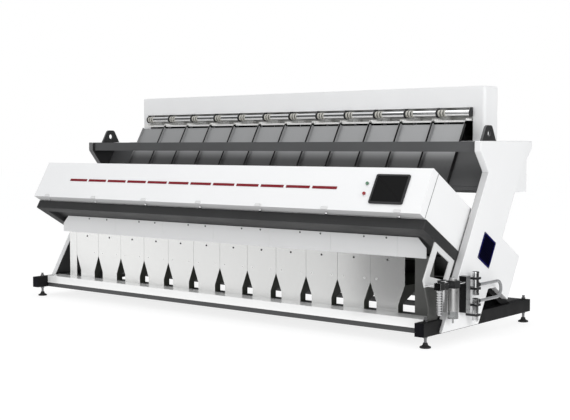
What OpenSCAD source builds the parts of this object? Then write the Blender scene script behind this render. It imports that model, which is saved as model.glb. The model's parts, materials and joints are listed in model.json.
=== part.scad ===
// Optical colour sorter with twelve leaning chutes, made of separate pieces.
// Millimetres. X runs along the machine, Y to its back, Z up from the floor.
// Leaning pieces use s, square to the chutes and to the back, and u, up along the chutes.

/* [Chutes and feeders] */
// Distance from one chute to the next
chute_pitch = 318; // [300:1:330]
// Free space between two chutes
chute_gap = 16; // [10:1:24]
// Sheet thickness of a chute
chute_t = 4; // [2:0.5:6]
// Height of a chute's side rims
chute_rim = 26; // [15:1:32]
// Height of the chutes' top edge above the floor
chute_top_z = 1650; // [1640:1:1664]
// Sheet thickness of a feeder tray
tray_t = 3; // [2:0.5:5]
// Height of a feeder tray's walls
tray_wall = 40; // [25:1:45]
// Depth of a feeder tray, lip to back
tray_l = 306; // [280:1:310]
// Diameter of the gate tubes over the tray lips
gate_d = 52; // [40:1:58]

/* [Frame] */
// Room between the last chute and a side panel
end_room = 312; // [290:1:340]
// Thickness of a side panel
panel_t = 60; // [50:1:80]
// Height of the side panels' top
panel_top_z = 1510; // [1500:1:1520]
// Width of a leaning leg, square to the lean
leg_w = 470; // [440:1:490]
// Width of a base beam
beam_w = 80; // [70:1:90]
// Height of a base beam
beam_h = 100; // [80:1:110]
// Height of the base beams' underside above the floor
beam_z = 90; // [80:1:110]
// Side of the square cross rails
rail_w = 60; // [40:1:62]
// Diameter of a foot's pad
foot_d = 100; // [80:1:120]
// Diameter of a foot's threaded stem
stem_d = 22; // [16:1:28]
// Height of the square lifting beam
lift_w = 80; // [60:1:90]
// Radius of the eye in a lifting lug
eye_r = 25; // [15:1:28]

/* [Optics boxes] */
// Height of the front box along the lean
box_h = 373; // [360:1:390]
// Depth of the front cover, from its face to the seam
cover_d = 78; // [60:1:90]
// Sheet thickness of the boxes and covers
skin_t = 6; // [3:0.5:8]
// Width of the touch screen's bezel
screen_w = 302; // [260:1:340]
// Height of the touch screen's bezel
screen_h = 248; // [200:1:280]
// Diameter of the start and stop buttons
button_d = 26; // [18:1:34]
// Travel of the start and stop buttons
button_travel = 4; // [3:0.5:5]
// Diameter of the cover's hinge pins
hinge_d = 10; // [8:0.5:12]

/* [Outlets] */
// Width of an outlet hopper's spout
spout_w = 200; // [160:1:230]
// Sheet thickness of the hoppers
hopper_t = 4; // [2:0.5:5]
// Height of the apron plates
apron_h = 155; // [140:1:165]

/* [Compressed air] */
// Diameter of the chrome air pipes
pipe_d = 50; // [40:1:54]
// Diameter of the filter's body
filter_d = 90; // [60:1:92]
// Outer diameter of the air hose
hose_d = 24; // [14:1:26]

/* [Hidden] */
$fn = 48;
chutes_n = 12;
lean = 30;
// Running clearance of hinge pins and knobs, and seat gap between fixed pieces
run_gap = 0.08;
seat_gap = 0.3;

// The front box's top front corner is the zero of s and u
box_y = -668;
box_z = 1308;
box_end_s = 640;
stream_s = 690;
leg_s = 618;
leg_end_s = leg_s + leg_w;
rear_s = 735;
rear_end_s = 1425;
rear_top_u = -28;
rear_bot_u = -382;
function lean_y(s, u) = box_y + s * cos(lean) + u * sin(lean);
function lean_z(s, u) = box_z - s * sin(lean) + u * cos(lean);
function u_at(s, z) = (z - box_z + s * sin(lean)) / cos(lean);
function edge_y(s, z) = lean_y(s, u_at(s, z));
function on_lean(s, z) = [edge_y(s, z), z];
function at(s, u) = [lean_y(s, u), lean_z(s, u)];
function at_height(u, z) = at((box_z + u * cos(lean) - z) / sin(lean), u);

row_half = chutes_n * chute_pitch / 2;
panel_in = row_half + end_room;
panel_out = panel_in + panel_t;
box_half = panel_in - 10;
chute_w = chute_pitch - chute_gap;
function chute_x(i) = (i + 0.5) * chute_pitch - row_half;

// Base
beam_top = beam_z + beam_h;
beam_out = panel_in + 30;
beam_in = beam_out - beam_w;
beam_front = -852;
beam_back = 810;
foot_y = 767;
foot_x = beam_out - beam_w / 2;
pad_h = 40;
nut_h = 16;
nut_r = stem_d * 0.8;
stem_over = 34;
outlet_z = beam_top + 10;
front_rail_y = -730;
front_rail_top = beam_top - 40;
spout_rail_w = 40;
shelf_t = 4;
shelf_lip_z = front_rail_top - 20;
web_x = beam_in + 6;
web_t = 8;
web_s = leg_end_s - 60;
web_u = rear_bot_u - 2;
brace_w = 66;
panel_bot_z = beam_z + 10;

// Side panels and lifting gear
flare_y = -100;
flare_z = panel_top_z - 83;
notch_z = panel_top_z - 239;
leg_top_z = 357;
panel_low_u = rear_bot_u - 31;
lift_y = -70;
lift_z = panel_top_z - 4 - lift_w;
lug_t = 20;
lug_y = 135;
lug_w = 226;
lug_round = 36;
lug_flat = 44;
lug_h = 124;
lug_eye_z = panel_top_z + 60;
lug_tail = [lug_y - lug_w / 2, lug_y + 35];
lug_tail_h = 80;
vent_s = 903;
vent_u = -223;
vent_w = 200;
vent_h = 222;
vent_depth = 26;
vent_rim = 14;
vent_slats = 9;

// Chutes and their bars
chute_end_u = 60;
chute_len = u_at(stream_s, chute_top_z) - chute_end_u;
bar_w = 40;
bar_us = [560, 186];
end_plate_us = [bar_us[1] + bar_w - 4, bar_us[0] + bar_w];

// Feeder housing and hood
body_y = 400;
body_back_y = 891;
body_low_y = 794;
body_z = 1092;
deck_z = panel_top_z + 3;
body_wide_z = deck_z - 63;
body_step_z = body_wide_z - 90;
tube_h = 46;
hood_half = row_half + 113;
hood_y = 423;
hood_d = 228;
hood_z = 1965;
hood_open_z = 1789;
hood_t = 6;
hood_round = 28;
inlet_d = 130;
throat_d = 70;
throat_z = 1752;
tray_y = 324;
tray_z = chute_top_z + 29;
tray_gap = 18;
tray_low = 18;
lip_in = chute_t + 3;
lip_drop = 12;
drive_w = 150;
drive_l = 200;
drive_y = 440;
coil_h = 90;
spring_t = 4;
gate_y = 400;
gate_z = hood_open_z - 45;
hanger_t = 14;
hanger_r = gate_d / 2 + 10;
hanger_arm = 12;

// Front cover
lip_u = -box_h;
hinge_u = hinge_d / 2 + 5;
hinge_r = hinge_u - seat_gap;
hinge_len = 40;
hinge_count = 4;
hinge_step = 2 * box_half / hinge_count;
leaf_l = 50;
leaf_t = 3;
screen_x = row_half - 21;
screen_u = -184;
bezel_t = 10;
bezel_rim = 16;
glass_x = screen_w / 2 - bezel_rim;
glass_z = screen_h / 2 - bezel_rim;
glass_t = 6;
button_x = row_half - 232;
button_us = [-143, -229];
collar_r = button_d / 2 + 5;
collar_t = 8;
button_head = 14;
strip_l = 240;
strip_pitch = 266.5;
strip_h = 24;
strip_t = 3;
strip_x = -1772;
strip_u = -184;
knob_n = 7;
knob_r = 13;
knob_h = 20;
knob_step = 671;
knob_s = 42;

// Optics
glass_half = row_half + 20;
glass_u0 = -266;
glass_u1 = -120;
pane_t = 8;
camera_w = 70;
camera_l = 110;
camera_gap = 150;
lens_r = 24;
lens_l = 50;
lamp_w = 54;
rail_half = glass_half + 60;

// Cradle, apron and hoppers
cradle_s = cover_d + 7;
cradle_front_w = 80;
cradle_u = lip_u - 82;
arm_w = 100;
pan_t = 34;
pan_u = lip_u - pan_t;
apron_y = -585;
apron_t = 5;
apron_half = row_half + 192;
apron_cut = 75;
apron_plate = 2 * chute_pitch;
seam_shift = -65;
apron_top = lean_z((apron_y - box_y - pan_u * sin(lean)) / cos(lean), pan_u) - 4;
apron_bot = apron_top - apron_h;
plate_y = apron_y + apron_t;
hopper_lap = 20;
hopper_top = apron_bot + hopper_lap;
taper_z = outlet_z + 214;
spout_z = outlet_z + 62;
spout_back = plate_y + 70;
ridge_y = -252;
ridge_z = taper_z + 56;
reject_y0 = -62;
reject_y1 = 38;
reject_w = 80;
reject_back_y = 118;
reject_taper_z = taper_z - 18;
reject_back_z = reject_taper_z + 9;
blank_w = 104;
blank_gap = 90;
blank_end = panel_in - 56;
ejector_w = 60;
nozzle_r = 7;
air_rail_s = 1230;
air_rail_w = 50;
bracket_x = panel_in - 8;
bracket_t = 12;
bracket_s0 = 292;
bracket_s1 = leg_s - 6;
bracket_rim = 62;
bracket_knee_u = -770;
bracket_foot = [[-734, beam_top], [-722, beam_top + 88]];

// Compressed-air set, on the right leg's outer face
air_reach = 95;
pipe_x = panel_out + air_reach - pipe_d / 2 - 5;
pipe_y = -280;
pipe_zs = [[151, 324], [350, 527]];
clamp_h = 18;
block_w = 62;
block_y = -412;
block_z0 = 226;
block_z1 = 502;
filter_head_w = 76;
head_x = panel_out + max(filter_d, filter_head_w) / 2 + 2;
head_z = 459;
head_w = 54;
filter_y = -578;
oiler_y = -712;
oiler_d = 62;
oiler_z = 270;
tee_y = -772;
nipple_r = 11;
bowl_z = 206;
bowl_top = 262;
drain_r = 7;
drain_h = 36;
knob_z = head_z + head_w / 2;
cap_r = 28;
cap_h = 16;
flex_r = 22;
flex_n = 10;
flex_z = 250;
lever_l = 92;
lever_t = 6;
lever_r = 12;
port_r = 9;
port_l = 60;
hose_y = pipe_y + pipe_d / 2 + seat_gap;
hose_zs = [300, 424];
hose_run = 310;

// The origin is the middle of the machine's footprint on the floor
shift_x = -air_reach / 2;
shift_y = -(lean_y(0, lip_u) + body_back_y) / 2;

white = "whitesmoke";
dark = "dimgray";
black = "#202022";
steel = "silver";

tray_names = [for (i = [1 : chutes_n]) str("feeder_tray_", i < 10 ? "0" : "", i)];

// Shared forms

module placed() {
    translate([shift_x, shift_y, 0]) children();
}

module leaning() {
    translate([0, box_y, box_z]) rotate([-lean, 0, 0]) children();
}

module block(x, y, z) {
    translate([x[0], y[0], z[0]]) cube([x[1] - x[0], y[1] - y[0], z[1] - z[0]]);
}

// A bar of half length half, between two values of y and of z
module bar(half, y, z) {
    block([-half, half], y, z);
}

// An outline in Y and Z, run along X
module along_x(x) {
    translate([x[0], 0, 0]) rotate([90, 0, 90]) linear_extrude(x[1] - x[0]) children();
}

// An outline in X and Z, run along Y
module along_y(y) {
    translate([0, y[1], 0]) rotate([90, 0, 0]) linear_extrude(y[1] - y[0]) children();
}

module both_sides() {
    for (side = [0, 1]) mirror([side, 0, 0]) children();
}

module each_foot() {
    for (x = [-foot_x, foot_x], y = [-foot_y, foot_y]) translate([x, y, 0]) children();
}

// Base

// Base beam with the web and the brace that stand on it inside the leaning panel
module base_side() {
    foot_z = beam_top - 1;
    brace_u = web_u - brace_w;
    block([beam_in, beam_out], [beam_front, beam_back], [beam_z, beam_top]);
    along_x([web_x, web_x + web_t])
        polygon([on_lean(web_s, foot_z), at(web_s, web_u), at_height(web_u, foot_z)]);
    along_x([web_x, panel_in]) polygon([at(web_s, brace_u), at(web_s, web_u), at_height(web_u, foot_z),
        at_height(brace_u, foot_z)]);
}

module base_beams() {
    color(dark) placed() difference() {
        both_sides() base_side();
        each_foot() cylinder(d = stem_d + 2 * seat_gap, h = beam_top + 1);
    }
}

module cross_rails() {
    color(dark) placed() {
        bar(beam_in, [front_rail_y, front_rail_y + rail_w], [front_rail_top - rail_w, front_rail_top]);
        for (y = [spout_back - hopper_t, reject_y1])
            bar(beam_in, [y, y + spout_rail_w], [outlet_z - spout_rail_w, outlet_z]);
        bar(beam_in, [beam_back - 70, beam_back - 70 + rail_w], [beam_top - rail_w, beam_top]);
    }
}

module foot_pads() {
    color(black) placed() each_foot() {
        cylinder(d = foot_d, h = 12);
        translate([0, 0, 12]) cylinder(d1 = foot_d - 6, d2 = stem_d + 16, h = pad_h - 12);
    }
}

module foot_stems() {
    color(steel) placed() each_foot() {
        translate([0, 0, pad_h]) cylinder(d = stem_d, h = beam_top + stem_over - pad_h);
        for (z = [beam_z - nut_h, beam_top]) translate([0, 0, z]) difference() {
            cylinder(r = nut_r, h = nut_h, $fn = 6);
            translate([0, 0, -1]) cylinder(d = stem_d + seat_gap, h = nut_h + 2);
        }
    }
}

// Side panels, with the leg cut to sit over the base beam

module panel_outline() {
    polygon([
        [flare_y, panel_top_z], [flare_y, flare_z], on_lean(leg_s, notch_z),
        on_lean(leg_s, panel_bot_z), on_lean(leg_end_s, panel_bot_z), on_lean(leg_end_s, leg_top_z),
        at_height(panel_low_u, leg_top_z), at(rear_end_s, panel_low_u), at(rear_end_s, rear_top_u),
        at(leg_end_s, rear_top_u), on_lean(leg_end_s, panel_top_z)]);
}

module side_panel() {
    difference() {
        along_x([panel_in, panel_out]) panel_outline();
        block([beam_in, beam_out], [beam_front, beam_back], [beam_z, beam_top]);
    }
}

module side_panel_left() {
    color(white) placed() mirror([1, 0, 0]) side_panel();
}

module vent_box(w, h, x) {
    leaning() block(x, [vent_s - w / 2, vent_s + w / 2], [vent_u - h / 2, vent_u + h / 2]);
}

module side_panel_right() {
    color(white) placed() difference() {
        side_panel();
        vent_box(vent_w - 2 * vent_rim, vent_h - 2 * vent_rim, [panel_out - vent_depth, panel_out + 1]);
    }
}

module vent_grille() {
    slot_h = (vent_h - 4 * vent_rim) / vent_slats;
    color("midnightblue") placed() difference() {
        union() {
            vent_box(vent_w, vent_h, [panel_out, panel_out + 5]);
            vent_box(vent_w - 2 * vent_rim - 1, vent_h - 2 * vent_rim - 1, [panel_out - 12, panel_out]);
        }
        for (i = [0 : vent_slats - 1]) leaning() translate([panel_out - 6, vent_s, vent_u])
            translate([0, -vent_w / 2 + 2 * vent_rim, -vent_h / 2 + 2 * vent_rim + i * slot_h])
                cube([20, vent_w - 4 * vent_rim, slot_h * 0.55]);
    }
}

// Lug with rounded shoulders, each side tangent to its shoulder, and a tail down the panel's inner face
module lug_outline() {
    shoulder = [lug_flat / 2, lug_h - lug_round];
    foot = [lug_w / 2, 0] - shoulder;
    a = atan2(foot[1], foot[0]) + acos(lug_round / norm(foot));
    touch = shoulder + lug_round * [cos(a), sin(a)];
    translate([lug_y, panel_top_z]) {
        polygon([[-lug_w / 2, 0], [lug_w / 2, 0], touch, [lug_flat / 2, lug_h], [-lug_flat / 2, lug_h],
            [-touch[0], touch[1]]]);
        for (side = [-1, 1]) translate([side * shoulder[0], shoulder[1]]) circle(r = lug_round);
    }
    translate([lug_tail[0], panel_top_z - lug_tail_h]) square([lug_tail[1] - lug_tail[0], lug_tail_h + 1]);
}

module lifting_frame() {
    color(dark) placed() {
        bar(panel_in, [lift_y, lift_y + lift_w], [lift_z, lift_z + lift_w]);
        both_sides() difference() {
            along_x([panel_in - lug_t, panel_in]) lug_outline();
            translate([panel_in - 2 * lug_t, lug_y, lug_eye_z]) rotate([0, 90, 0])
                cylinder(r = eye_r, h = 4 * lug_t);
        }
    }
}

// Chutes

module chute() {
    translate([-chute_w / 2, stream_s, chute_end_u]) cube([chute_w, chute_t, chute_len]);
    both_sides() translate([chute_w / 2 - chute_t, stream_s - chute_rim, chute_end_u])
        cube([chute_t, chute_rim, chute_len]);
}

module chutes() {
    color("darkgray") placed() leaning()
        for (i = [0 : chutes_n - 1]) translate([chute_x(i), 0, 0]) chute();
}

// Two bars behind the chutes, and the plates that close the row between the last chutes and the panels
module chute_bars() {
    color(dark) placed() leaning() {
        for (u = bar_us) bar(panel_in, [stream_s + chute_t, stream_s + chute_t + bar_w], [u, u + bar_w]);
        both_sides()
            block([row_half, panel_in], [stream_s, stream_s + chute_t], end_plate_us);
    }
}

// Feeders

// Tray with walls cut down under the gate tube and a lip turned down into its chute
module feeder_tray(i) {
    half = (chute_pitch - tray_gap) / 2;
    color(steel) placed() translate([chute_x(i), tray_y, tray_z]) {
        difference() {
            block([-half, half], [0, tray_l], [0, tray_wall]);
            block([tray_t - half, half - tray_t], [-1, tray_l - tray_t], [tray_t, tray_wall + 1]);
            block([-half - 1, half + 1], [-1, gate_y + gate_d / 2 + 8 - tray_y], [tray_low, tray_wall + 1]);
        }
        block([lip_in - half, half - lip_in], [-tray_t, 0], [-lip_drop, tray_t]);
    }
}

// Base block, electromagnet and two leaf springs that carry a tray
module feeder_drives() {
    color(black) placed() for (i = [0 : chutes_n - 1]) translate([chute_x(i), drive_y, deck_z]) {
        block([-drive_w / 2, drive_w / 2], [0, drive_l], [0, coil_h / 2]);
        block([-drive_w / 4, drive_w / 4], [drive_l / 4, drive_l * 3 / 4], [coil_h / 2, coil_h]);
        for (y = [0, drive_l - spring_t])
            block([-drive_w / 2, drive_w / 2], [y, y + spring_t], [coil_h / 2, tray_z - deck_z]);
    }
}

module gate_tubes() {
    tube_l = chute_pitch - hanger_t;
    color(steel) placed() for (i = [0 : chutes_n - 1])
        translate([chute_x(i) - tube_l / 2, gate_y, gate_z]) rotate([0, 90, 0])
            cylinder(d = gate_d, h = tube_l);
}

// Round end plates between the tubes, each on an arm from the hood
module gate_hangers() {
    color(black) placed() for (i = [0 : chutes_n]) {
        x0 = i == 0 ? 0 : -hanger_t / 2;
        x1 = i == chutes_n ? 0 : hanger_t / 2;
        translate([i * chute_pitch - row_half, 0, 0]) {
            block([x0, x1], [gate_y - hanger_arm, hood_y + hood_t], [gate_z, hood_open_z]);
            translate([x0, gate_y, gate_z]) rotate([0, 90, 0]) cylinder(r = hanger_r, h = x1 - x0);
        }
    }
}

module feed_hopper_plate(y_top, y_low) {
    along_x([-row_half, row_half]) polygon([[y_top, hood_z - hood_t - 1], [y_low, throat_z],
        [y_low + hood_t, throat_z], [y_top + hood_t, hood_z - hood_t - 1]]);
}

module feed_hopper_plates() {
    mid_y = hood_y + hood_d / 2;
    color(steel) placed() {
        feed_hopper_plate(mid_y - inlet_d / 2 - hood_t, mid_y - throat_d / 2 - hood_t);
        feed_hopper_plate(mid_y + inlet_d / 2, mid_y + throat_d / 2);
    }
}

// A rectangle from zero with its far corner rounded
module round_corner(w, h) {
    difference() {
        square([w, h]);
        translate([w - hood_round, h - hood_round]) difference() {
            square(hood_round + 1);
            circle(r = hood_round);
        }
    }
}

// End pillar, rounded over its top and round its front and rear outer corners
module hood_pillar() {
    w = hood_half - row_half;
    half_d = hood_d / 2;
    translate([row_half, hood_y + half_d, deck_z]) intersection() {
        along_y([-half_d, half_d]) round_corner(w, hood_z - deck_z);
        linear_extrude(hood_z - deck_z) {
            round_corner(w, half_d);
            mirror([0, 1]) round_corner(w, half_d);
        }
    }
}

// Hood: header, rear wall, two end pillars, and the top with its long inlet slot
module hood_shell() {
    mid_y = hood_y + hood_d / 2;
    color(white) placed() {
        bar(row_half, [hood_y, mid_y - inlet_d / 2], [hood_z - hood_t, hood_z]);
        bar(row_half, [mid_y + inlet_d / 2, hood_y + hood_d], [hood_z - hood_t, hood_z]);
        bar(row_half, [hood_y, hood_y + hood_t], [hood_open_z, hood_z - hood_t]);
        bar(row_half, [hood_y + hood_d - hood_t, hood_y + hood_d], [deck_z, hood_z - hood_t]);
        both_sides() hood_pillar();
    }
}

// Feeder housing

module body_front_wall() {
    color(dark) placed() {
        bar(panel_in, [body_y, body_y + hood_t], [body_z + tube_h, deck_z - hood_t]);
        bar(panel_in, [body_y - 20, body_y + 26], [body_z, body_z + tube_h]);
    }
}

module body_rear_outline() {
    polygon([[body_y + 26, body_z], [body_low_y, body_z], [body_low_y, body_step_z],
        [body_back_y, body_wide_z], [body_back_y, deck_z - hood_t], [body_y + hood_t, deck_z - hood_t],
        [body_y + hood_t, body_z + tube_h], [body_y + 26, body_z + tube_h]]);
}

// Bent rear sheet and two end plates
module body_shell() {
    color(white) placed() {
        along_x([-box_half + hood_t, box_half - hood_t]) polygon([
            [body_y + 26, body_z], [body_low_y, body_z], [body_low_y, body_step_z],
            [body_back_y, body_wide_z], [body_back_y, deck_z - hood_t],
            [body_back_y - hood_t, deck_z - hood_t], [body_back_y - hood_t, body_wide_z + hood_t / 2],
            [body_low_y - hood_t, body_step_z + hood_t / 2], [body_low_y - hood_t, body_z + hood_t],
            [body_y + 26, body_z + hood_t]]);
        both_sides() along_x([box_half - hood_t, box_half]) body_rear_outline();
    }
}

module body_deck() {
    color(white) placed() bar(box_half, [body_y, body_back_y], [deck_z - hood_t, deck_z]);
}

// Front cover: a shallow tray with its hinge knuckles, closed at its face and at its four edges

module hinge_x(shift) {
    for (i = [0 : hinge_count - 1]) translate([(i + 0.5) * hinge_step - box_half + shift, cover_d, hinge_u])
        children();
}

module front_cover() {
    edge = cover_d - 2;
    color(white) placed() leaning() {
        difference() {
            bar(box_half, [0, edge], [lip_u, 0]);
            bar(box_half - skin_t, [skin_t, edge + 1], [lip_u + skin_t, -skin_t]);
        }
        hinge_x(seat_gap) difference() {
            union() {
                rotate([0, 90, 0]) cylinder(r = hinge_r, h = hinge_len);
                block([0, hinge_len], [-leaf_l, 0], [-hinge_u, leaf_t - hinge_u]);
            }
            translate([-1, 0, 0]) rotate([0, 90, 0]) cylinder(r = hinge_d / 2 + run_gap, h = hinge_len + 2);
            block([-1, hinge_len + 1], [-1.5, leaf_l], [-hinge_u - 1, seat_gap - hinge_u]);
        }
    }
}

// Fixed halves of the hinges, with the pins pressed into them
module hinge_leaves() {
    color(steel) placed() leaning() hinge_x(0) {
        translate([-hinge_len, 0, 0]) {
            rotate([0, 90, 0]) cylinder(r = hinge_r, h = hinge_len);
            block([0, hinge_len], [3, leaf_l], [-hinge_u, leaf_t - hinge_u]);
        }
        rotate([0, 90, 0]) cylinder(d = hinge_d, h = hinge_len + 4);
    }
}

module cover_fasteners() {
    color("gainsboro") placed() leaning() for (i = [0 : knob_n - 1])
        translate([(i - (knob_n - 1) / 2) * knob_step, knob_s, lip_u - knob_h]) {
            cylinder(r = knob_r, h = knob_h - 5);
            translate([0, 0, knob_h - 5]) cylinder(r = knob_r * 0.7, h = 5);
        }
}

module on_cover(x, u) {
    leaning() translate([x, 0, u]) children();
}

module screen_bezel() {
    color(black) placed() on_cover(screen_x, screen_u) difference() {
        block([-screen_w / 2, screen_w / 2], [-bezel_t, 0], [-screen_h / 2, screen_h / 2]);
        block([-glass_x, glass_x], [-bezel_t - 1, 1], [-glass_z, glass_z]);
    }
}

module screen_panel() {
    color("black") placed() on_cover(screen_x, screen_u)
        block([-glass_x, glass_x], [-glass_t, 0], [-glass_z, glass_z]);
}

module push_button() {
    rotate([90, 0, 0]) cylinder(d = button_d, h = button_head);
}

module start_button() {
    color("green") placed() on_cover(button_x, button_us[0])
        translate([0, -button_travel - 1, 0]) push_button();
}

module stop_button() {
    color("red") placed() on_cover(button_x, button_us[1])
        translate([0, -button_travel - 1, 0]) push_button();
}

module button_collars() {
    color(black) placed() for (u = button_us) on_cover(button_x, u) rotate([90, 0, 0]) difference() {
        cylinder(r = collar_r, h = collar_t);
        translate([0, 0, -1]) cylinder(r = button_d / 2 + seat_gap, h = collar_t + 2);
    }
}

module status_strips() {
    color("firebrick") placed() for (i = [0 : chutes_n - 1]) on_cover(strip_x + i * strip_pitch, strip_u)
        block([0, strip_l], [-strip_t, 0], [-strip_h / 2, strip_h / 2]);
}

// Optics boxes

// Wall with the long window that the cameras look through
module window_wall(half, s, u) {
    difference() {
        bar(half, s, u);
        bar(glass_half, [s[0] - 1, s[1] + 1], [glass_u0, glass_u1]);
    }
}

module front_box_shell() {
    inner_u = [lip_u + skin_t, -skin_t];
    color(white) placed() leaning() {
        bar(box_half, [cover_d, box_end_s], [-skin_t, 0]);
        bar(box_half, [cover_d, box_end_s], [lip_u, lip_u + skin_t]);
        both_sides() block([box_half - skin_t, box_half], [cover_d, box_end_s], inner_u);
        window_wall(box_half - skin_t, [box_end_s - skin_t, box_end_s], inner_u);
    }
}

module rear_box_shell() {
    cover_s = rear_end_s - cover_d;
    inner_u = [rear_bot_u + skin_t, rear_top_u - skin_t];
    color(white) placed() leaning() {
        bar(panel_in, [rear_s, cover_s], [rear_top_u - skin_t, rear_top_u]);
        bar(panel_in, [rear_s, cover_s], [rear_bot_u, rear_bot_u + skin_t]);
        window_wall(panel_in, [rear_s, rear_s + skin_t], inner_u);
        difference() {
            bar(panel_in - 1, [cover_s, rear_end_s], [rear_bot_u, rear_top_u]);
            bar(panel_in - 1 - skin_t, [cover_s - 1, rear_end_s - skin_t], inner_u);
        }
    }
}

module box_glass() {
    lap = 15;
    color("lightblue", 0.5) placed() leaning()
        for (s = [box_end_s - skin_t - pane_t, rear_s + skin_t])
            bar(glass_half + lap, [s, s + pane_t], [glass_u0 - lap, glass_u1 + lap]);
}

// One camera per chute in each box, on a rail at the optical axis
module camera(dir) {
    half = camera_w / 2;
    block([-half, half], dir > 0 ? [0, camera_l] : [-camera_l, 0], [-half, half]);
    rotate([-90 * dir, 0, 0]) translate([0, 0, camera_l]) cylinder(r = lens_r, h = lens_l);
}

axis_u = (glass_u0 + glass_u1) / 2;
front_camera_s = cover_d + camera_gap;
rear_camera_s = rear_end_s - cover_d - camera_gap + 60;

module cameras() {
    color(black) placed() leaning() for (i = [0 : chutes_n - 1]) {
        translate([chute_x(i), front_camera_s, axis_u]) camera(1);
        translate([chute_x(i), rear_camera_s, axis_u]) camera(-1);
    }
}

module camera_rails() {
    low = axis_u - camera_w / 2;
    color(steel) placed() leaning() {
        for (s = [front_camera_s + 20, rear_camera_s - 90]) bar(rail_half, [s, s + 70], [low - 30, low]);
        for (x = [-rail_half, 0, rail_half - 60]) {
            translate([x, 0, 0])
                block([0, 60], [front_camera_s + 40, front_camera_s + 70], [lip_u + skin_t, low - 30]);
            translate([x, 0, 0])
                block([0, 60], [rear_camera_s - 70, rear_camera_s - 40], [rear_bot_u + skin_t, low - 30]);
        }
    }
}

module light_bars() {
    front_s = box_end_s - 130;
    back_s = rear_s + 76;
    color("gainsboro") placed() leaning() {
        for (u = [-skin_t - lamp_w, lip_u + skin_t])
            bar(glass_half, [front_s, front_s + lamp_w], [u, u + lamp_w]);
        for (u = [rear_top_u - skin_t - lamp_w, rear_bot_u + skin_t])
            bar(glass_half, [back_s, back_s + lamp_w], [u, u + lamp_w]);
    }
}

// Cradle under the front box: front tube, two arms on the panels and the pan between them
module cradle() {
    tube_end = cradle_s + cradle_front_w;
    color(dark) placed() leaning() {
        bar(panel_in, [cradle_s, tube_end], [cradle_u, lip_u]);
        both_sides() block([panel_in - arm_w, panel_in], [tube_end, box_end_s + 40], [cradle_u, lip_u]);
        bar(panel_in - arm_w, [tube_end, box_end_s], [pan_u, lip_u]);
    }
}

module apron_plates() {
    seams = [-apron_half, for (x = [-2 : 3]) x * apron_plate + seam_shift, apron_half];
    color("lightgray") placed() intersection() {
        for (i = [0 : len(seams) - 2])
            block([seams[i] + 0.5, seams[i + 1] - 0.5], [apron_y, plate_y], [apron_bot, apron_top]);
        along_y([apron_y - 1, apron_y + apron_t + 1]) polygon([
            [-apron_half, apron_bot], [apron_half, apron_bot], [apron_half, apron_top - apron_cut],
            [apron_half - apron_cut, apron_top], [apron_cut - apron_half, apron_top],
            [-apron_half, apron_top - apron_cut]]);
    }
}

// Outlet hoppers, each of four plates: front, back and two bent sides

// Outline of a front or back plate: full width above, drawn in to the spout below
module hopper_face(top, full_z, w_spout, z_spout) {
    w = chute_pitch / 2 - 0.5;
    polygon([[-w, top], [-w, full_z], [-w_spout / 2, z_spout], [-w_spout / 2, outlet_z],
        [w_spout / 2, outlet_z], [w_spout / 2, z_spout], [w, full_z], [w, top]]);
}

module hopper_side(full_z, w_spout, z_spout) {
    w = chute_pitch / 2 - 0.5;
    polygon([[w, full_z], [w_spout / 2, z_spout], [w_spout / 2, outlet_z],
        [w_spout / 2 - hopper_t, outlet_z], [w_spout / 2 - hopper_t, z_spout], [w - hopper_t, full_z]]);
}

module front_hopper() {
    inside_y = plate_y + hopper_t;
    along_y([plate_y, inside_y]) hopper_face(hopper_top, taper_z, spout_w, spout_z);
    intersection() {
        along_y([inside_y, ridge_y]) hopper_face(ridge_z, taper_z, spout_w, spout_z);
        along_x([-chute_pitch, chute_pitch]) polygon([[ridge_y - hopper_t, ridge_z],
            [spout_back - hopper_t, spout_z], [spout_back - hopper_t, outlet_z],
            [spout_back, outlet_z], [spout_back, spout_z], [ridge_y, ridge_z]]);
    }
    both_sides() intersection() {
        along_y([inside_y, ridge_y]) hopper_side(taper_z, spout_w, spout_z);
        along_x([-chute_pitch, chute_pitch]) polygon([[inside_y, outlet_z],
            [spout_back - hopper_t, outlet_z], [spout_back - hopper_t, spout_z],
            [ridge_y - hopper_t, ridge_z], [inside_y, ridge_z]]);
    }
}

module front_hoppers() {
    color(steel) placed() {
        for (i = [0 : chutes_n - 1]) translate([chute_x(i), 0, 0]) front_hopper();
        for (x = [[-row_half - blank_w, -row_half - 0.5], [row_half + blank_gap, blank_end]])
            block(x, [plate_y, plate_y + hopper_t], [outlet_z, hopper_top]);
    }
}

module reject_hopper() {
    gap = 1;
    y0 = ridge_y + gap;
    intersection() {
        along_y([y0, reject_y0 + hopper_t]) hopper_face(ridge_z, reject_taper_z, reject_w, spout_z);
        along_x([-chute_pitch, chute_pitch]) polygon([[y0, ridge_z], [reject_y0, spout_z],
            [reject_y0, outlet_z], [reject_y0 + hopper_t, outlet_z],
            [reject_y0 + hopper_t, spout_z], [y0 + hopper_t, ridge_z]]);
    }
    intersection() {
        along_y([reject_y1, reject_back_y + hopper_t])
            hopper_face(reject_back_z, reject_taper_z, reject_w, spout_z);
        along_x([-chute_pitch, chute_pitch]) polygon([[reject_back_y, reject_back_z], [reject_y1, spout_z],
            [reject_y1, outlet_z], [reject_y1 + hopper_t, outlet_z], [reject_y1 + hopper_t, spout_z],
            [reject_back_y + hopper_t, reject_back_z]]);
    }
    both_sides() intersection() {
        along_y([y0, reject_back_y]) hopper_side(reject_taper_z, reject_w, spout_z);
        along_x([-chute_pitch, chute_pitch]) polygon([[reject_y0 + hopper_t, outlet_z],
            [reject_y1, outlet_z], [reject_y1, spout_z], [reject_back_y, reject_back_z],
            [y0 + hopper_t, ridge_z], [reject_y0 + hopper_t, spout_z]]);
    }
}

module reject_hoppers() {
    color(black) placed() for (i = [0 : chutes_n - 1]) translate([chute_x(i), 0, 0]) reject_hopper();
}

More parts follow.
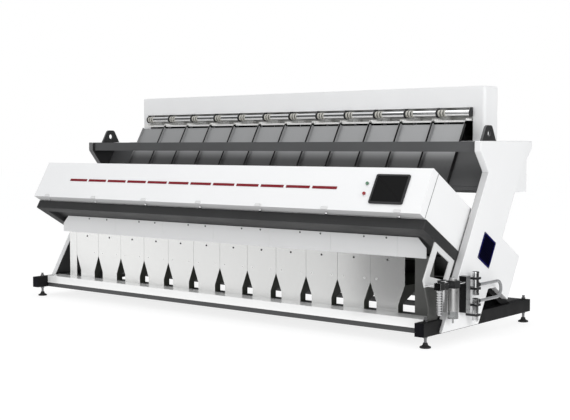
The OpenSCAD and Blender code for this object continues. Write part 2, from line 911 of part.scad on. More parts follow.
// Stainless shelf in front of the hoppers, its lip hung over the front rail
module outlet_shelf() {
    front_y = front_rail_y - shelf_t;
    end_y = plate_y + hopper_t;
    color(steel) placed() along_x([-beam_in + 1, beam_in - 1]) polygon([
        [front_y, shelf_lip_z], [front_y, outlet_z], [end_y, outlet_z], [end_y, outlet_z - shelf_t],
        [front_rail_y, outlet_z - shelf_t], [front_rail_y, shelf_lip_z]]);
}

// Ejector bar with one nozzle block per chute
module ejector_manifold() {
    s1 = box_end_s - 4;
    color(steel) placed() leaning() {
        bar(row_half, [s1 - ejector_w, s1], [pan_u - ejector_w, pan_u]);
        for (i = [0 : chutes_n - 1]) translate([chute_x(i), s1, pan_u - ejector_w / 2])
            rotate([-90, 0, 0]) cylinder(r = nozzle_r, h = 12);
    }
}

module air_rail() {
    color(dark) placed() leaning()
        bar(web_x, [air_rail_s, air_rail_s + air_rail_w], [rear_bot_u - air_rail_w, rear_bot_u]);
}

// Right-hand bracket plate with its window, from the cradle's arm down to a foot on the base beam
module leg_bracket() {
    s0 = bracket_s0 + bracket_rim;
    s1 = bracket_s1 - bracket_rim;
    u1 = cradle_u - bracket_rim * 0.7;
    u0 = bracket_knee_u + bracket_rim;
    color(white) placed() along_x([bracket_x - bracket_t, bracket_x]) difference() {
        polygon(concat([at(bracket_s0, cradle_u), at(bracket_s1, cradle_u), on_lean(bracket_s1, beam_top)],
            bracket_foot, [at(bracket_s0, bracket_knee_u)]));
        polygon([at(s0, u1), at(s1, u1), at(s1, u0 + 60), at(s0, u0)]);
    }
}

// Compressed-air set

module manifold_block() {
    color("gray") placed()
        block([panel_out, panel_out + block_w], [block_y, block_y + block_w], [block_z0, block_z1]);
}

module nipple(y0, y1) {
    translate([head_x, y0, head_z]) rotate([-90, 0, 0]) cylinder(r = nipple_r, h = y1 - y0);
}

module head_block(y, w) {
    translate([head_x, y, head_z]) cube([w, w, head_w], center = true);
}

// Tee on the bracket, corrugated inlet tube, lubricator, filter body and the nipples between them
module filter_heads() {
    half = head_w / 2;
    filter_half = filter_head_w / 2;
    flex_len = head_z - half - flex_z;
    rib = flex_len / flex_n;
    color(steel) placed() {
        for (y = [tee_y, oiler_y]) head_block(y, head_w);
        head_block(filter_y, filter_head_w);
        nipple(tee_y + half, oiler_y - half);
        nipple(oiler_y + half, filter_y - filter_half);
        nipple(filter_y + filter_half, block_y);
        translate([bracket_x, tee_y, head_z]) rotate([0, 90, 0])
            cylinder(r = nipple_r - 2, h = head_x - half - bracket_x);
        translate([head_x, oiler_y, oiler_z]) cylinder(d = oiler_d, h = head_z - half - oiler_z);
        translate([head_x, filter_y, bowl_top]) cylinder(d = filter_d, h = head_z - half - bowl_top);
        translate([head_x, tee_y, flex_z]) difference() {
            rotate_extrude() polygon([[0, 0], for (i = [0 : flex_n - 1]) each [[flex_r - 5, i * rib],
                [flex_r, (i + 0.5) * rib]], [flex_r - 5, flex_len], [0, flex_len]]);
            translate([0, 0, -1]) cylinder(r = port_r, h = port_l + 1);
        }
    }
}

module filter_bowl() {
    color("lightgray", 0.6) placed() translate([head_x, filter_y, 0]) {
        translate([0, 0, bowl_z]) cylinder(d = filter_d - 10, h = bowl_top - bowl_z);
        translate([0, 0, bowl_z - drain_h]) cylinder(r = drain_r, h = drain_h);
    }
}

module pressure_knob() {
    color(black) placed() translate([head_x, filter_y, knob_z]) {
        cylinder(r = cap_r, h = cap_h);
        translate([0, 0, cap_h]) cylinder(r = cap_r - 6, h = 5);
    }
}

// Quarter-turn lever on top of the inlet tee
module shutoff_lever() {
    color(black) placed() translate([head_x, tee_y, knob_z]) {
        cylinder(r = lever_r, h = lever_r);
        block([-lever_r, lever_r], [-lever_r, lever_l - lever_r], [lever_r, lever_r + lever_t]);
    }
}

// Two chrome pipes with their clamps, which stand on the leg's outer face
module air_pipes() {
    clamp_half = pipe_d / 2 + 5;
    color(steel) placed() for (z = pipe_zs) {
        pipe_l = z[1] - z[0];
        translate([pipe_x, pipe_y, z[0]]) cylinder(d = pipe_d, h = pipe_l);
        for (t = [0.28, 0.72]) translate([0, pipe_y, z[0] + t * pipe_l])
            block([panel_out, pipe_x + clamp_half], [-clamp_half, clamp_half], [-clamp_h / 2, clamp_h / 2]);
    }
}

// Hose that loops from one pipe to the other
module air_hoses() {
    turn_r = (hose_zs[1] - hose_zs[0]) / 2;
    color("gray") placed() translate([pipe_x, hose_y, 0]) {
        for (z = hose_zs) translate([0, 0, z]) rotate([-90, 0, 0]) cylinder(d = hose_d, h = hose_run);
        translate([0, hose_run, hose_zs[0] + turn_r]) rotate([0, 90, 0])
            rotate_extrude(angle = 180) translate([turn_r, 0]) circle(d = hose_d);
    }
}

base_beams();
cross_rails();
foot_pads();
foot_stems();
side_panel_left();
side_panel_right();
lifting_frame();
vent_grille();
chutes();
chute_bars();
for (i = [0 : chutes_n - 1]) feeder_tray(i);
feeder_drives();
gate_tubes();
gate_hangers();
feed_hopper_plates();
hood_shell();
body_front_wall();
body_shell();
body_deck();
front_cover();
hinge_leaves();
cover_fasteners();
screen_bezel();
screen_panel();
start_button();
stop_button();
button_collars();
status_strips();
front_box_shell();
rear_box_shell();
box_glass();
cameras();
camera_rails();
light_bars();
cradle();
apron_plates();
front_hoppers();
reject_hoppers();
outlet_shelf();
ejector_manifold();
air_rail();
leg_bracket();
manifold_block();
filter_heads();
filter_bowl();
pressure_knob();
shutoff_lever();
air_pipes();
air_hoses();
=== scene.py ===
import json
import math
import bpy
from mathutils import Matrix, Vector

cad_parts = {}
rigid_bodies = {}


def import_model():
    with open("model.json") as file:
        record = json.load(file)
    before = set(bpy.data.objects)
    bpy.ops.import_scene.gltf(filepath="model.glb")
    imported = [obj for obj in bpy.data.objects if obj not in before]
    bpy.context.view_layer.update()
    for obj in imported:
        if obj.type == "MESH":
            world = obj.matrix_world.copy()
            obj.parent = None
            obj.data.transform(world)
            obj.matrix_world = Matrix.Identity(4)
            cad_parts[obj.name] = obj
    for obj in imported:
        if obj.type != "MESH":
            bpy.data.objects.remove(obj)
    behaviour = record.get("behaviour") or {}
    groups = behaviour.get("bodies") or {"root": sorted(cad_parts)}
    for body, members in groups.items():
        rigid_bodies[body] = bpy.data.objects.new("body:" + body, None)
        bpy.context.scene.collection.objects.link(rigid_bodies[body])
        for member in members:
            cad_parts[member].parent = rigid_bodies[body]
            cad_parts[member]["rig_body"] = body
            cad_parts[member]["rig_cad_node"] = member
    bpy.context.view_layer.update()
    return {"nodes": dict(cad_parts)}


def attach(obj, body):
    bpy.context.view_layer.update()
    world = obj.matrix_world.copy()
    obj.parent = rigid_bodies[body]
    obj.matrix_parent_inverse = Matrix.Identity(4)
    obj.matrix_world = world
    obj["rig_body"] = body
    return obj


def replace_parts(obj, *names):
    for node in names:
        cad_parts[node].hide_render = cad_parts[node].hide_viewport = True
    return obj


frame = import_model()
print("frame loaded:", len(frame["nodes"]), "nodes")


# Places on the machine. Leaning pieces use s, to the back square to the chutes, and u, up along them.
layout = {
    "shift": (-0.0475, -0.01825),  # from the middle of the feet to the middle of the footprint
    "boxCorner": (-0.668, 1.308),  # Y and Z of the front box's top front corner, s = u = 0
    "lean": math.radians(30),
    "chutes": 12,
    "chutePitch": 0.318,
    "panelOut": 2.28,
    "hopperFace": -0.5799,  # Y where fasteners sit on the hoppers' front
    "airPipe": (2.345, -0.280),
}
rowHalf = layout["chutes"] * layout["chutePitch"] / 2
leanTurn = (-layout["lean"], 0, 0)
frontTurn = (math.radians(90), 0, 0)  # a piece's top turned to the front, the back or the right
backTurn = (math.radians(-90), 0, 0)
rightTurn = (0, math.radians(90), 0)


def spot(x, y, z):  # a point given from the middle of the feet
    return Vector((x + layout["shift"][0], y + layout["shift"][1], z))


def leaning(x, s, u):  # a point given on the lean
    cosine, sine = math.cos(layout["lean"]), math.sin(layout["lean"])
    y0, z0 = layout["boxCorner"]
    return spot(x, y0 + s * cosine + u * sine, z0 - s * sine + u * cosine)


def chuteX(i):
    return (i + 0.5) * layout["chutePitch"] - rowHalf


def only(piece):
    bpy.ops.object.select_all(action="DESELECT")
    piece.select_set(True)
    bpy.context.view_layer.objects.active = piece


def settle(piece):  # the piece's place goes into its mesh
    only(piece)
    bpy.ops.object.transform_apply(location=True, rotation=True, scale=True)


# Camera, at the photograph's viewing angle
shot = {"at": (6.392, -7.472, 1.468), "yaw": 39.39, "pitch": 3.358, "lens": 68.48, "sensor": 36.0, "far": 200}


def setCamera():
    bpy.ops.object.camera_add(location=spot(*shot["at"]))
    camera = bpy.context.object
    camera.name = "photoCamera"
    camera.rotation_euler = (math.radians(90 - shot["pitch"]), 0, math.radians(shot["yaw"]))
    camera.data.lens = shot["lens"]
    camera.data.sensor_width = shot["sensor"]
    camera.data.clip_end = shot["far"]
    camera.data.dof.use_dof = False
    bpy.context.scene.camera = camera


setCamera()
print("camera set")


# Shader helpers

def grey(value):
    return (value, value, value)


def mapRange(nodes, links, value, span, result=(0.0, 1.0)):  # a value's span turned into another
    step = nodes.new("ShaderNodeMapRange")
    step.inputs["From Min"].default_value, step.inputs["From Max"].default_value = span
    step.inputs["To Min"].default_value, step.inputs["To Max"].default_value = result
    links.new(value, step.inputs["Value"])
    return step


def mixColour(nodes, links, first, second, factor):
    mix = nodes.new("ShaderNodeMix")
    mix.data_type = "RGBA"
    mix.inputs["A"].default_value = (*first, 1)
    mix.inputs["B"].default_value = (*second, 1)
    links.new(factor, mix.inputs["Factor"])
    return mix.outputs["Result"]


# Studio: white floor, white surround, soft lamps, and a dark board and white cards that only reflections see
studio = {
    "floor": {
        "size": 90.0, "colour": 0.24, "rough": 0.7, "shine": 0.2, "glow": 0.8,
        "footprint": (2.33, 0.87, 0),
        "reach": (0.5, 1.4),  # how far from the footprint mirrored floor starts to dim, and where it is dark
        "dark": 0.01,
    },
    "board": {"edge": (0.92, -1.5), "turn": -34.0, "tilt": -34.0, "width": 2.6, "length": 3.4, "lift": 0.02,
              "colour": 0.006},
    "cardColour": 0.1,
    "cards": [
        # name, middle, width, height, turn, X where the glow starts and stops to change, glow there
        ("hopperCard", (-1.92, -1.8, 0.5), 4.96, 1.0, 0.0, (-3.4, 0.56), (0.96, 0.5)),
        ("airCard", (3.7, -2.7, 0.6), 2.2, 1.2, 33.7, (2.0, 5.0), (1.3, 1.3)),
    ],
    "sky": {
        "colour": (0.98, 0.99, 1.0, 1), "power": 0.8,
        "horizon": (0.5, 0.66),  # rise below which mirrored sky is dim, and above which it is bright
        "dim": 0.1,
    },
    "lamps": [
        # name, place, turned to, size, watts
        ("topLamp", (0.5, -1.0, 6.5), (0.0, 0.0, 0.8), 6.0, 110),
        ("rightLamp", (8.5, -3.0, 3.4), (1.5, 0.0, 0.9), 4.0, 180),
        ("frontLamp", (-2.0, -9.0, 4.0), (0.0, 0.0, 0.9), 5.0, 60),
    ],
}


def studioPaint(name, colour, rough=0.5, shine=0.5):
    paint = bpy.data.materials.new(name)
    paint.use_nodes = True
    shader = paint.node_tree.nodes["Principled BSDF"]
    shader.inputs["Base Color"].default_value = (*grey(colour), 1)
    shader.inputs["Roughness"].default_value = rough
    shader.inputs["Specular IOR Level"].default_value = shine
    shader.inputs["Emission Color"].default_value = (1, 1, 1, 1)
    return paint, shader


def vectorStep(nodes, links, operation, vector):
    step = nodes.new("ShaderNodeVectorMath")
    step.operation = operation
    links.new(vector, step.inputs[0])
    return step


def pastFootprint(nodes, links):  # how far a place on the floor is from the machine's footprint
    away = vectorStep(nodes, links, "ABSOLUTE", nodes.new("ShaderNodeTexCoord").outputs["Object"])
    beyond = vectorStep(nodes, links, "SUBTRACT", away.outputs["Vector"])
    beyond.inputs[1].default_value = studio["floor"]["footprint"]
    outside = vectorStep(nodes, links, "MAXIMUM", beyond.outputs["Vector"])
    return vectorStep(nodes, links, "LENGTH", outside.outputs["Vector"]).outputs["Value"]


def makeFloor():  # white, but dark further out where it is mirrored
    floor = studio["floor"]
    bpy.ops.mesh.primitive_plane_add(size=floor["size"], location=(0, 0, 0))
    ground = bpy.context.object
    ground.name = "studioFloor"
    paint, shader = studioPaint("studioFloorPaint", floor["colour"], floor["rough"], floor["shine"])
    nodes, links = paint.node_tree.nodes, paint.node_tree.links
    dim = mapRange(nodes, links, pastFootprint(nodes, links), floor["reach"])
    mirrored = nodes.new("ShaderNodeMath")
    mirrored.operation = "MULTIPLY"
    links.new(nodes.new("ShaderNodeLightPath").outputs["Is Glossy Ray"], mirrored.inputs[0])
    links.new(dim.outputs["Result"], mirrored.inputs[1])
    glow = nodes.new("ShaderNodeMix")
    glow.inputs["A"].default_value = floor["glow"]
    glow.inputs["B"].default_value = floor["dark"]
    links.new(mirrored.outputs["Value"], glow.inputs["Factor"])
    links.new(glow.outputs["Result"], shader.inputs["Emission Strength"])
    tone = mixColour(nodes, links, grey(floor["colour"]), grey(floor["dark"]), mirrored.outputs["Value"])
    links.new(tone, shader.inputs["Base Color"])
    ground.data.materials.append(paint)


def reflectedOnly(card):  # only the machine's gloss sees it
    card.visible_camera = False
    card.visible_diffuse = False
    card.visible_transmission = False
    card.visible_shadow = False


def makeBoard():
    board = studio["board"]
    bpy.ops.mesh.primitive_plane_add(size=1, location=(0.5, -0.5, 0))
    sheet = bpy.context.object
    sheet.name = "studioBoard"
    settle(sheet)  # its left rear corner is now the point that it turns about
    sheet.scale = (board["width"], board["length"], 1)
    settle(sheet)
    sheet.rotation_euler = (math.radians(board["tilt"]), 0, math.radians(board["turn"]))
    sheet.location = (*board["edge"], board["lift"])
    settle(sheet)
    felt = studioPaint("studioBoardFelt", board["colour"], rough=1.0, shine=0.0)[0]
    sheet.data.materials.append(felt)
    reflectedOnly(sheet)


def makeCard(name, middle, width, height, turn, reach, glow):  # an upright card that glows in reflections
    bpy.ops.mesh.primitive_plane_add(size=1)
    card = bpy.context.object
    card.name = name
    card.scale = (width, height, 1)
    settle(card)
    card.rotation_euler = (math.radians(90), 0, math.radians(turn))
    card.location = middle
    settle(card)
    paper, shader = studioPaint(name + "Paper", studio["cardColour"])
    nodes, links = paper.node_tree.nodes, paper.node_tree.links
    across = nodes.new("ShaderNodeSeparateXYZ")
    links.new(nodes.new("ShaderNodeTexCoord").outputs["Object"], across.inputs["Vector"])
    fade = mapRange(nodes, links, across.outputs["X"], reach, glow)
    links.new(fade.outputs["Result"], shader.inputs["Emission Strength"])
    card.data.materials.append(paper)
    reflectedOnly(card)


def makeSky():  # white to the camera, and dim near the horizon where it is mirrored
    sky = studio["sky"]
    world = bpy.data.worlds.new("studioSky")
    bpy.context.scene.world = world
    world.use_nodes = True
    nodes, links = world.node_tree.nodes, world.node_tree.links
    surround = nodes["Background"]
    surround.inputs["Color"].default_value = sky["colour"]
    rise = nodes.new("ShaderNodeSeparateXYZ")
    links.new(nodes.new("ShaderNodeTexCoord").outputs["Generated"], rise.inputs["Vector"])
    dusk = mapRange(nodes, links, rise.outputs["Z"], sky["horizon"], (sky["dim"] * sky["power"], sky["power"]))
    power = nodes.new("ShaderNodeMix")
    power.inputs["A"].default_value = sky["power"]
    links.new(dusk.outputs["Result"], power.inputs["B"])
    links.new(power.outputs["Result"], surround.inputs["Strength"])
    backdrop = nodes.new("ShaderNodeBackground")
    backdrop.inputs["Color"].default_value = (1, 1, 1, 1)
    seen = nodes.new("ShaderNodeLightPath")
    pick = nodes.new("ShaderNodeMixShader")
    links.new(seen.outputs["Is Glossy Ray"], power.inputs["Factor"])
    links.new(seen.outputs["Is Camera Ray"], pick.inputs["Fac"])
    links.new(surround.outputs["Background"], pick.inputs[1])
    links.new(backdrop.outputs["Background"], pick.inputs[2])
    links.new(pick.outputs["Shader"], nodes["World Output"].inputs["Surface"])


def makeLamps():
    for name, place, target, size, watts in studio["lamps"]:
        bpy.ops.object.light_add(type="AREA", location=place)
        lamp = bpy.context.object
        lamp.name = name
        lamp.data.shape = "DISK"
        lamp.data.size = size
        lamp.data.energy = watts
        lamp.rotation_euler = (Vector(target) - Vector(place)).to_track_quat("-Z", "Y").to_euler()


makeFloor()
makeBoard()
for card in studio["cards"]:
    makeCard(*card)
makeSky()
makeLamps()
bpy.context.scene.view_settings.view_transform = "Standard"
bpy.context.scene.view_settings.look = "None"
print("studio set")


# Shared shader effects
grain = {
    # scale and detail of each noise
    "mottleDetail": 4.0, "wipe": (2.2, 5.0), "fine": (1.0, 3.0), "wide": (0.12, 3.0), "cloud": (2.5, 4.0),
    "wipeStretch": (1.3, 4.0, 4.0),
}


def newGroup(name, sockets):
    group = bpy.data.node_groups.new(name, "ShaderNodeTree")
    for socketName, way, kind, value in sockets:
        socket = group.interface.new_socket(socketName, in_out=way, socket_type=kind)
        if value is not None:
            socket.default_value = value
    return group, group.nodes.new("NodeGroupInput"), group.nodes.new("NodeGroupOutput")


def addNoise(group, vector, scale, detail=2.0):
    noise = group.nodes.new("ShaderNodeTexNoise")
    noise.inputs["Detail"].default_value = detail
    group.links.new(vector, noise.inputs["Vector"])
    if isinstance(scale, (int, float)):
        noise.inputs["Scale"].default_value = scale
    else:
        group.links.new(scale, noise.inputs["Scale"])
    return noise.outputs["Fac"]


def makeCoatGroup():  # orange peel of a powder coat, slow mottling and wiped patches
    group, inside, outside = newGroup("coatGrain", [
        ("Vector", "INPUT", "NodeSocketVector", None),
        ("Peel Scale", "INPUT", "NodeSocketFloat", 700.0),
        ("Patch Scale", "INPUT", "NodeSocketFloat", 3.0),
        ("Height", "OUTPUT", "NodeSocketFloat", None),
        ("Mottle", "OUTPUT", "NodeSocketFloat", None),
        ("Wipe", "OUTPUT", "NodeSocketFloat", None),
    ])
    vector = inside.outputs["Vector"]
    group.links.new(addNoise(group, vector, inside.outputs["Peel Scale"]), outside.inputs["Height"])
    group.links.new(addNoise(group, vector, inside.outputs["Patch Scale"], grain["mottleDetail"]),
                    outside.inputs["Mottle"])
    stretch = group.nodes.new("ShaderNodeMapping")
    stretch.inputs["Scale"].default_value = grain["wipeStretch"]
    group.links.new(vector, stretch.inputs["Vector"])
    group.links.new(addNoise(group, stretch.outputs["Vector"], *grain["wipe"]), outside.inputs["Wipe"])
    return group


def makeBrushGroup():  # fine scratches drawn out along one way
    group, inside, outside = newGroup("brushedLines", [
        ("Vector", "INPUT", "NodeSocketVector", None),
        ("Stretch", "INPUT", "NodeSocketVector", (500.0, 500.0, 6.0)),
        ("Height", "OUTPUT", "NodeSocketFloat", None),
        ("Streak", "OUTPUT", "NodeSocketFloat", None),
        ("Cloud", "OUTPUT", "NodeSocketFloat", None),
    ])
    scale = group.nodes.new("ShaderNodeVectorMath")
    scale.operation = "MULTIPLY"
    group.links.new(inside.outputs["Vector"], scale.inputs[0])
    group.links.new(inside.outputs["Stretch"], scale.inputs[1])
    fine = addNoise(group, scale.outputs["Vector"], *grain["fine"])
    wide = addNoise(group, scale.outputs["Vector"], *grain["wide"])
    group.links.new(fine, outside.inputs["Height"])
    group.links.new(wide, outside.inputs["Streak"])
    group.links.new(addNoise(group, inside.outputs["Vector"], *grain["cloud"]), outside.inputs["Cloud"])
    return group


coatGroup = makeCoatGroup()
brushGroup = makeBrushGroup()


# Finishes
noiseSpan = (0.3, 0.7)  # what a noise mostly gives
clearCoatRough = 0.08


def mapTo(nodes, links, noise, result):
    return mapRange(nodes, links, noise, noiseSpan, result).outputs["Result"]


def startFinish(name, group):
    finish = bpy.data.materials.new(name)
    finish.use_nodes = True
    nodes, links = finish.node_tree.nodes, finish.node_tree.links
    effect = nodes.new("ShaderNodeGroup")
    effect.node_tree = group
    links.new(nodes.new("ShaderNodeTexCoord").outputs["Object"], effect.inputs["Vector"])
    return finish, nodes, links, nodes["Principled BSDF"], effect


def addBump(nodes, links, shader, height, depth):
    bump = nodes.new("ShaderNodeBump")
    bump.inputs["Strength"].default_value = 1.0
    bump.inputs["Distance"].default_value = depth
    links.new(height, bump.inputs["Height"])
    links.new(bump.outputs["Normal"], shader.inputs["Normal"])


def coatFinish(name, look):
    finish, nodes, links, shader, effect = startFinish(name, coatGroup)
    effect.inputs["Peel Scale"].default_value = look["peel"]
    effect.inputs["Patch Scale"].default_value = look["patch"]
    links.new(mixColour(nodes, links, look["colour"], look["second"], effect.outputs["Mottle"]),
              shader.inputs["Base Color"])
    links.new(mapTo(nodes, links, effect.outputs["Wipe"], look["rough"]), shader.inputs["Roughness"])
    addBump(nodes, links, shader, effect.outputs["Height"], look["depth"])
    shader.inputs["Specular IOR Level"].default_value = look.get("shine", 0.5)
    shader.inputs["Coat Weight"].default_value = look.get("coat", 0.0)
    shader.inputs["Coat Roughness"].default_value = clearCoatRough
    return finish


def brushedFinish(name, look):
    finish, nodes, links, shader, effect = startFinish(name, brushGroup)
    effect.inputs["Stretch"].default_value = look["stretch"]
    links.new(mixColour(nodes, links, look["colour"], look["second"], effect.outputs["Cloud"]),
              shader.inputs["Base Color"])
    links.new(mapTo(nodes, links, effect.outputs["Streak"], look["rough"]), shader.inputs["Roughness"])
    addBump(nodes, links, shader, effect.outputs["Height"], look["depth"])
    shader.inputs["Metallic"].default_value = look["metal"]
    return finish


coatLooks = {
    "whiteCoat": {"colour": (0.82, 0.822, 0.825), "second": (0.79, 0.792, 0.795), "rough": (0.30, 0.42),
                  "peel": 650.0, "patch": 2.5, "depth": 0.00004},
    "apronCoat": {"colour": (0.76, 0.762, 0.765), "second": (0.72, 0.722, 0.726), "rough": (0.34, 0.46),
                  "peel": 700.0, "patch": 3.0, "depth": 0.00003},
    "bracketCoat": {"colour": (0.62, 0.62, 0.62), "second": (0.72, 0.72, 0.72), "rough": (0.36, 0.5),
                    "peel": 900.0, "patch": 160.0, "depth": 0.00005},
    "greyCoat": {"colour": (0.046, 0.0465, 0.048), "second": (0.06, 0.0605, 0.062), "rough": (0.42, 0.56),
                 "peel": 700.0, "patch": 4.0, "depth": 0.00005},
    "cradleCoat": {"colour": (0.026, 0.0262, 0.027), "second": (0.035, 0.0353, 0.036), "rough": (0.44, 0.58),
                   "peel": 700.0, "patch": 4.0, "depth": 0.00005, "shine": 0.4},
    "beamCoat": {"colour": (0.072, 0.073, 0.075), "second": (0.088, 0.089, 0.091), "rough": (0.42, 0.56),
                 "peel": 700.0, "patch": 4.0, "depth": 0.00005},
    # light grey: painted light on the front wall's cross tube, the wall's own dark grey lit
    "paintedTubeLight": {"colour": (0.26, 0.26, 0.262), "second": (0.3, 0.3, 0.302), "rough": (0.4, 0.52),
                "peel": 700.0, "patch": 5.0, "depth": 0.00005},
    "blackCoat": {"colour": (0.007, 0.007, 0.0075), "second": (0.012, 0.012, 0.0125), "rough": (0.4, 0.54),
                  "peel": 700.0, "patch": 4.0, "depth": 0.00005, "shine": 0.1},
    # dark grey: dark coat and painted shade on the row's right blank and the bracket's lower part
    "blankCoatAndShade": {"colour": (0.075, 0.076, 0.072), "second": (0.1, 0.101, 0.096), "rough": (0.34, 0.46),
                  "peel": 700.0, "patch": 4.0, "depth": 0.00004},
    "darkScrew": {"colour": (0.05, 0.05, 0.051), "second": (0.08, 0.08, 0.081), "rough": (0.34, 0.5),
                  "peel": 900.0, "patch": 60.0, "depth": 0.00003, "shine": 0.3},
    # near black for inner faces and chute sides: dark coat and painted shade
    "innerCoatAndShade": {"colour": (0.012, 0.012, 0.0125), "second": (0.02, 0.02, 0.021), "rough": (0.5, 0.66),
                  "peel": 600.0, "patch": 3.0, "depth": 0.00005},
    # dark grey: painted shade on the left panel's front edge above the step
    "paintedFlareShade": {"colour": (0.13, 0.13, 0.132), "second": (0.16, 0.16, 0.162), "rough": (0.4, 0.52),
                 "peel": 700.0, "patch": 5.0, "depth": 0.00005},
    # mid grey: painted shade on the right panel's front edge and the cover's underside
    "paintedEdgeShade": {"colour": (0.5, 0.5, 0.502), "second": (0.56, 0.56, 0.562), "rough": (0.36, 0.5),
                  "peel": 700.0, "patch": 3.0, "depth": 0.00004},
    # near black: painted shade on the hoppers' faces in the gaps and on the reject hoppers
    "hopperPaintedShade": {"colour": (0.014, 0.016, 0.012), "second": (0.024, 0.026, 0.02), "rough": (0.55, 0.7),
                     "peel": 500.0, "patch": 6.0, "depth": 0.00003, "shine": 0.2},
    "collarPlastic": {"colour": (0.42, 0.41, 0.37), "second": (0.5, 0.49, 0.45), "rough": (0.3, 0.44),
                      "peel": 900.0, "patch": 20.0, "depth": 0.00003},
    # near black: painted shade on the base beams' front end faces
    "paintedBeamEndShade": {"colour": (0.004, 0.004, 0.006), "second": (0.008, 0.008, 0.012), "rough": (0.6, 0.75),
                  "peel": 1500.0, "patch": 9.0, "depth": 0.00005, "shine": 0.1},
    "gasketRubber": {"colour": (0.09, 0.09, 0.092), "second": (0.13, 0.13, 0.132), "rough": (0.6, 0.75),
                     "peel": 900.0, "patch": 16.0, "depth": 0.00005, "shine": 0.2},
    "blackMould": {"colour": (0.010, 0.010, 0.011), "second": (0.015, 0.015, 0.017), "rough": (0.46, 0.6),
                   "peel": 1500.0, "patch": 9.0, "depth": 0.00006},
    "navyMould": {"colour": (0.003, 0.003, 0.07), "second": (0.004, 0.004, 0.095), "rough": (0.5, 0.62),
                  "peel": 1500.0, "patch": 9.0, "depth": 0.00005, "shine": 0.1},
    "slatMould": {"colour": (0.0008, 0.0008, 0.009), "second": (0.0012, 0.0012, 0.014), "rough": (0.6, 0.75),
                  "peel": 1500.0, "patch": 9.0, "depth": 0.00005, "shine": 0.03},
    "footRubber": {"colour": (0.008, 0.008, 0.008), "second": (0.015, 0.015, 0.014), "rough": (0.6, 0.8),
                   "peel": 900.0, "patch": 14.0, "depth": 0.00012},
    "hoseSleeve": {"colour": (0.2, 0.205, 0.21), "second": (0.29, 0.295, 0.3), "rough": (0.16, 0.28),
                   "peel": 300.0, "patch": 12.0, "depth": 0.00004, "coat": 0.4},
    "screenGlass": {"colour": (0.006, 0.006, 0.0062), "second": (0.008, 0.008, 0.0082), "rough": (0.3, 0.42),
                    "peel": 60.0, "patch": 6.0, "depth": 0.000004, "shine": 0.07},
    "lampCover": {"colour": (0.82, 0.83, 0.85), "second": (0.76, 0.77, 0.79), "rough": (0.4, 0.55),
                  "peel": 400.0, "patch": 5.0, "depth": 0.00004},
    "greenCap": {"colour": (0.07, 0.17, 0.1), "second": (0.09, 0.2, 0.12), "rough": (0.2, 0.34),
                 "peel": 900.0, "patch": 40.0, "depth": 0.00002, "coat": 0.3},
    "redCap": {"colour": (0.26, 0.012, 0.016), "second": (0.31, 0.018, 0.022), "rough": (0.2, 0.34),
               "peel": 900.0, "patch": 40.0, "depth": 0.00002, "coat": 0.3},
    "stripLens": {"colour": (0.17, 0.005, 0.012), "second": (0.22, 0.008, 0.017), "rough": (0.3, 0.42),
                  "peel": 500.0, "patch": 20.0, "depth": 0.00003, "shine": 0.25},
}
brushedLooks = {
    "hopperSteel": {"colour": (0.88, 0.88, 0.87), "second": (0.85, 0.85, 0.842), "rough": (0.262, 0.268),
                    "stretch": (420.0, 420.0, 5.0), "depth": 0.0000002, "metal": 0.75},
    "innerSteel": {"colour": (0.5, 0.5, 0.49), "second": (0.44, 0.44, 0.432), "rough": (0.3, 0.4),
                   "stretch": (420.0, 420.0, 5.0), "depth": 0.000002, "metal": 0.9},
    "screwSteel": {"colour": (0.34, 0.34, 0.345), "second": (0.26, 0.26, 0.265), "rough": (0.26, 0.4),
                   "stretch": (300.0, 300.0, 300.0), "depth": 0.000004, "metal": 0.9},
    "shelfSteel": {"colour": (0.92, 0.92, 0.915), "second": (0.89, 0.89, 0.885), "rough": (0.12, 0.15),
                   "stretch": (4.0, 420.0, 420.0), "depth": 0.0000006, "metal": 0.18},
    "traySteel": {"colour": (0.9, 0.895, 0.88), "second": (0.85, 0.845, 0.83), "rough": (0.24, 0.34),
                  "stretch": (4.0, 420.0, 420.0), "depth": 0.000002, "metal": 0.2},
    "satinMetal": {"colour": (0.9, 0.9, 0.9), "second": (0.86, 0.86, 0.86), "rough": (0.16, 0.24),
                   "stretch": (60.0, 60.0, 60.0), "depth": 0.000002, "metal": 0.3},
    "stemSteel": {"colour": (0.2, 0.2, 0.205), "second": (0.14, 0.14, 0.145), "rough": (0.18, 0.3),
                  "stretch": (60.0, 60.0, 900.0), "depth": 0.00001, "metal": 0.95},
    "plainAluminium": {"colour": (0.5, 0.505, 0.51), "second": (0.43, 0.435, 0.44), "rough": (0.32, 0.45),
                       "stretch": (300.0, 300.0, 20.0), "depth": 0.000006, "metal": 0.9},
    "brightChrome": {"colour": (0.88, 0.88, 0.885), "second": (0.84, 0.84, 0.85), "rough": (0.04, 0.09),
                     "stretch": (60.0, 60.0, 60.0), "depth": 0.000002, "metal": 1.0},
    "darkChrome": {"colour": (0.62, 0.62, 0.625), "second": (0.55, 0.55, 0.555), "rough": (0.07, 0.13),
                   "stretch": (60.0, 60.0, 60.0), "depth": 0.000002, "metal": 1.0},
    "flexSteel": {"colour": (0.55, 0.55, 0.555), "second": (0.46, 0.46, 0.465), "rough": (0.06, 0.12),
                  "stretch": (200.0, 200.0, 200.0), "depth": 0.000004, "metal": 1.0},
    "lubricatorMetal": {"colour": (0.5, 0.5, 0.502), "second": (0.42, 0.42, 0.422), "rough": (0.06, 0.12),
                        "stretch": (60.0, 60.0, 60.0), "depth": 0.000002, "metal": 0.8},
    "castZinc": {"colour": (0.62, 0.62, 0.615), "second": (0.54, 0.54, 0.535), "rough": (0.26, 0.38),
                 "stretch": (240.0, 240.0, 240.0), "depth": 0.00001, "metal": 0.9},
}
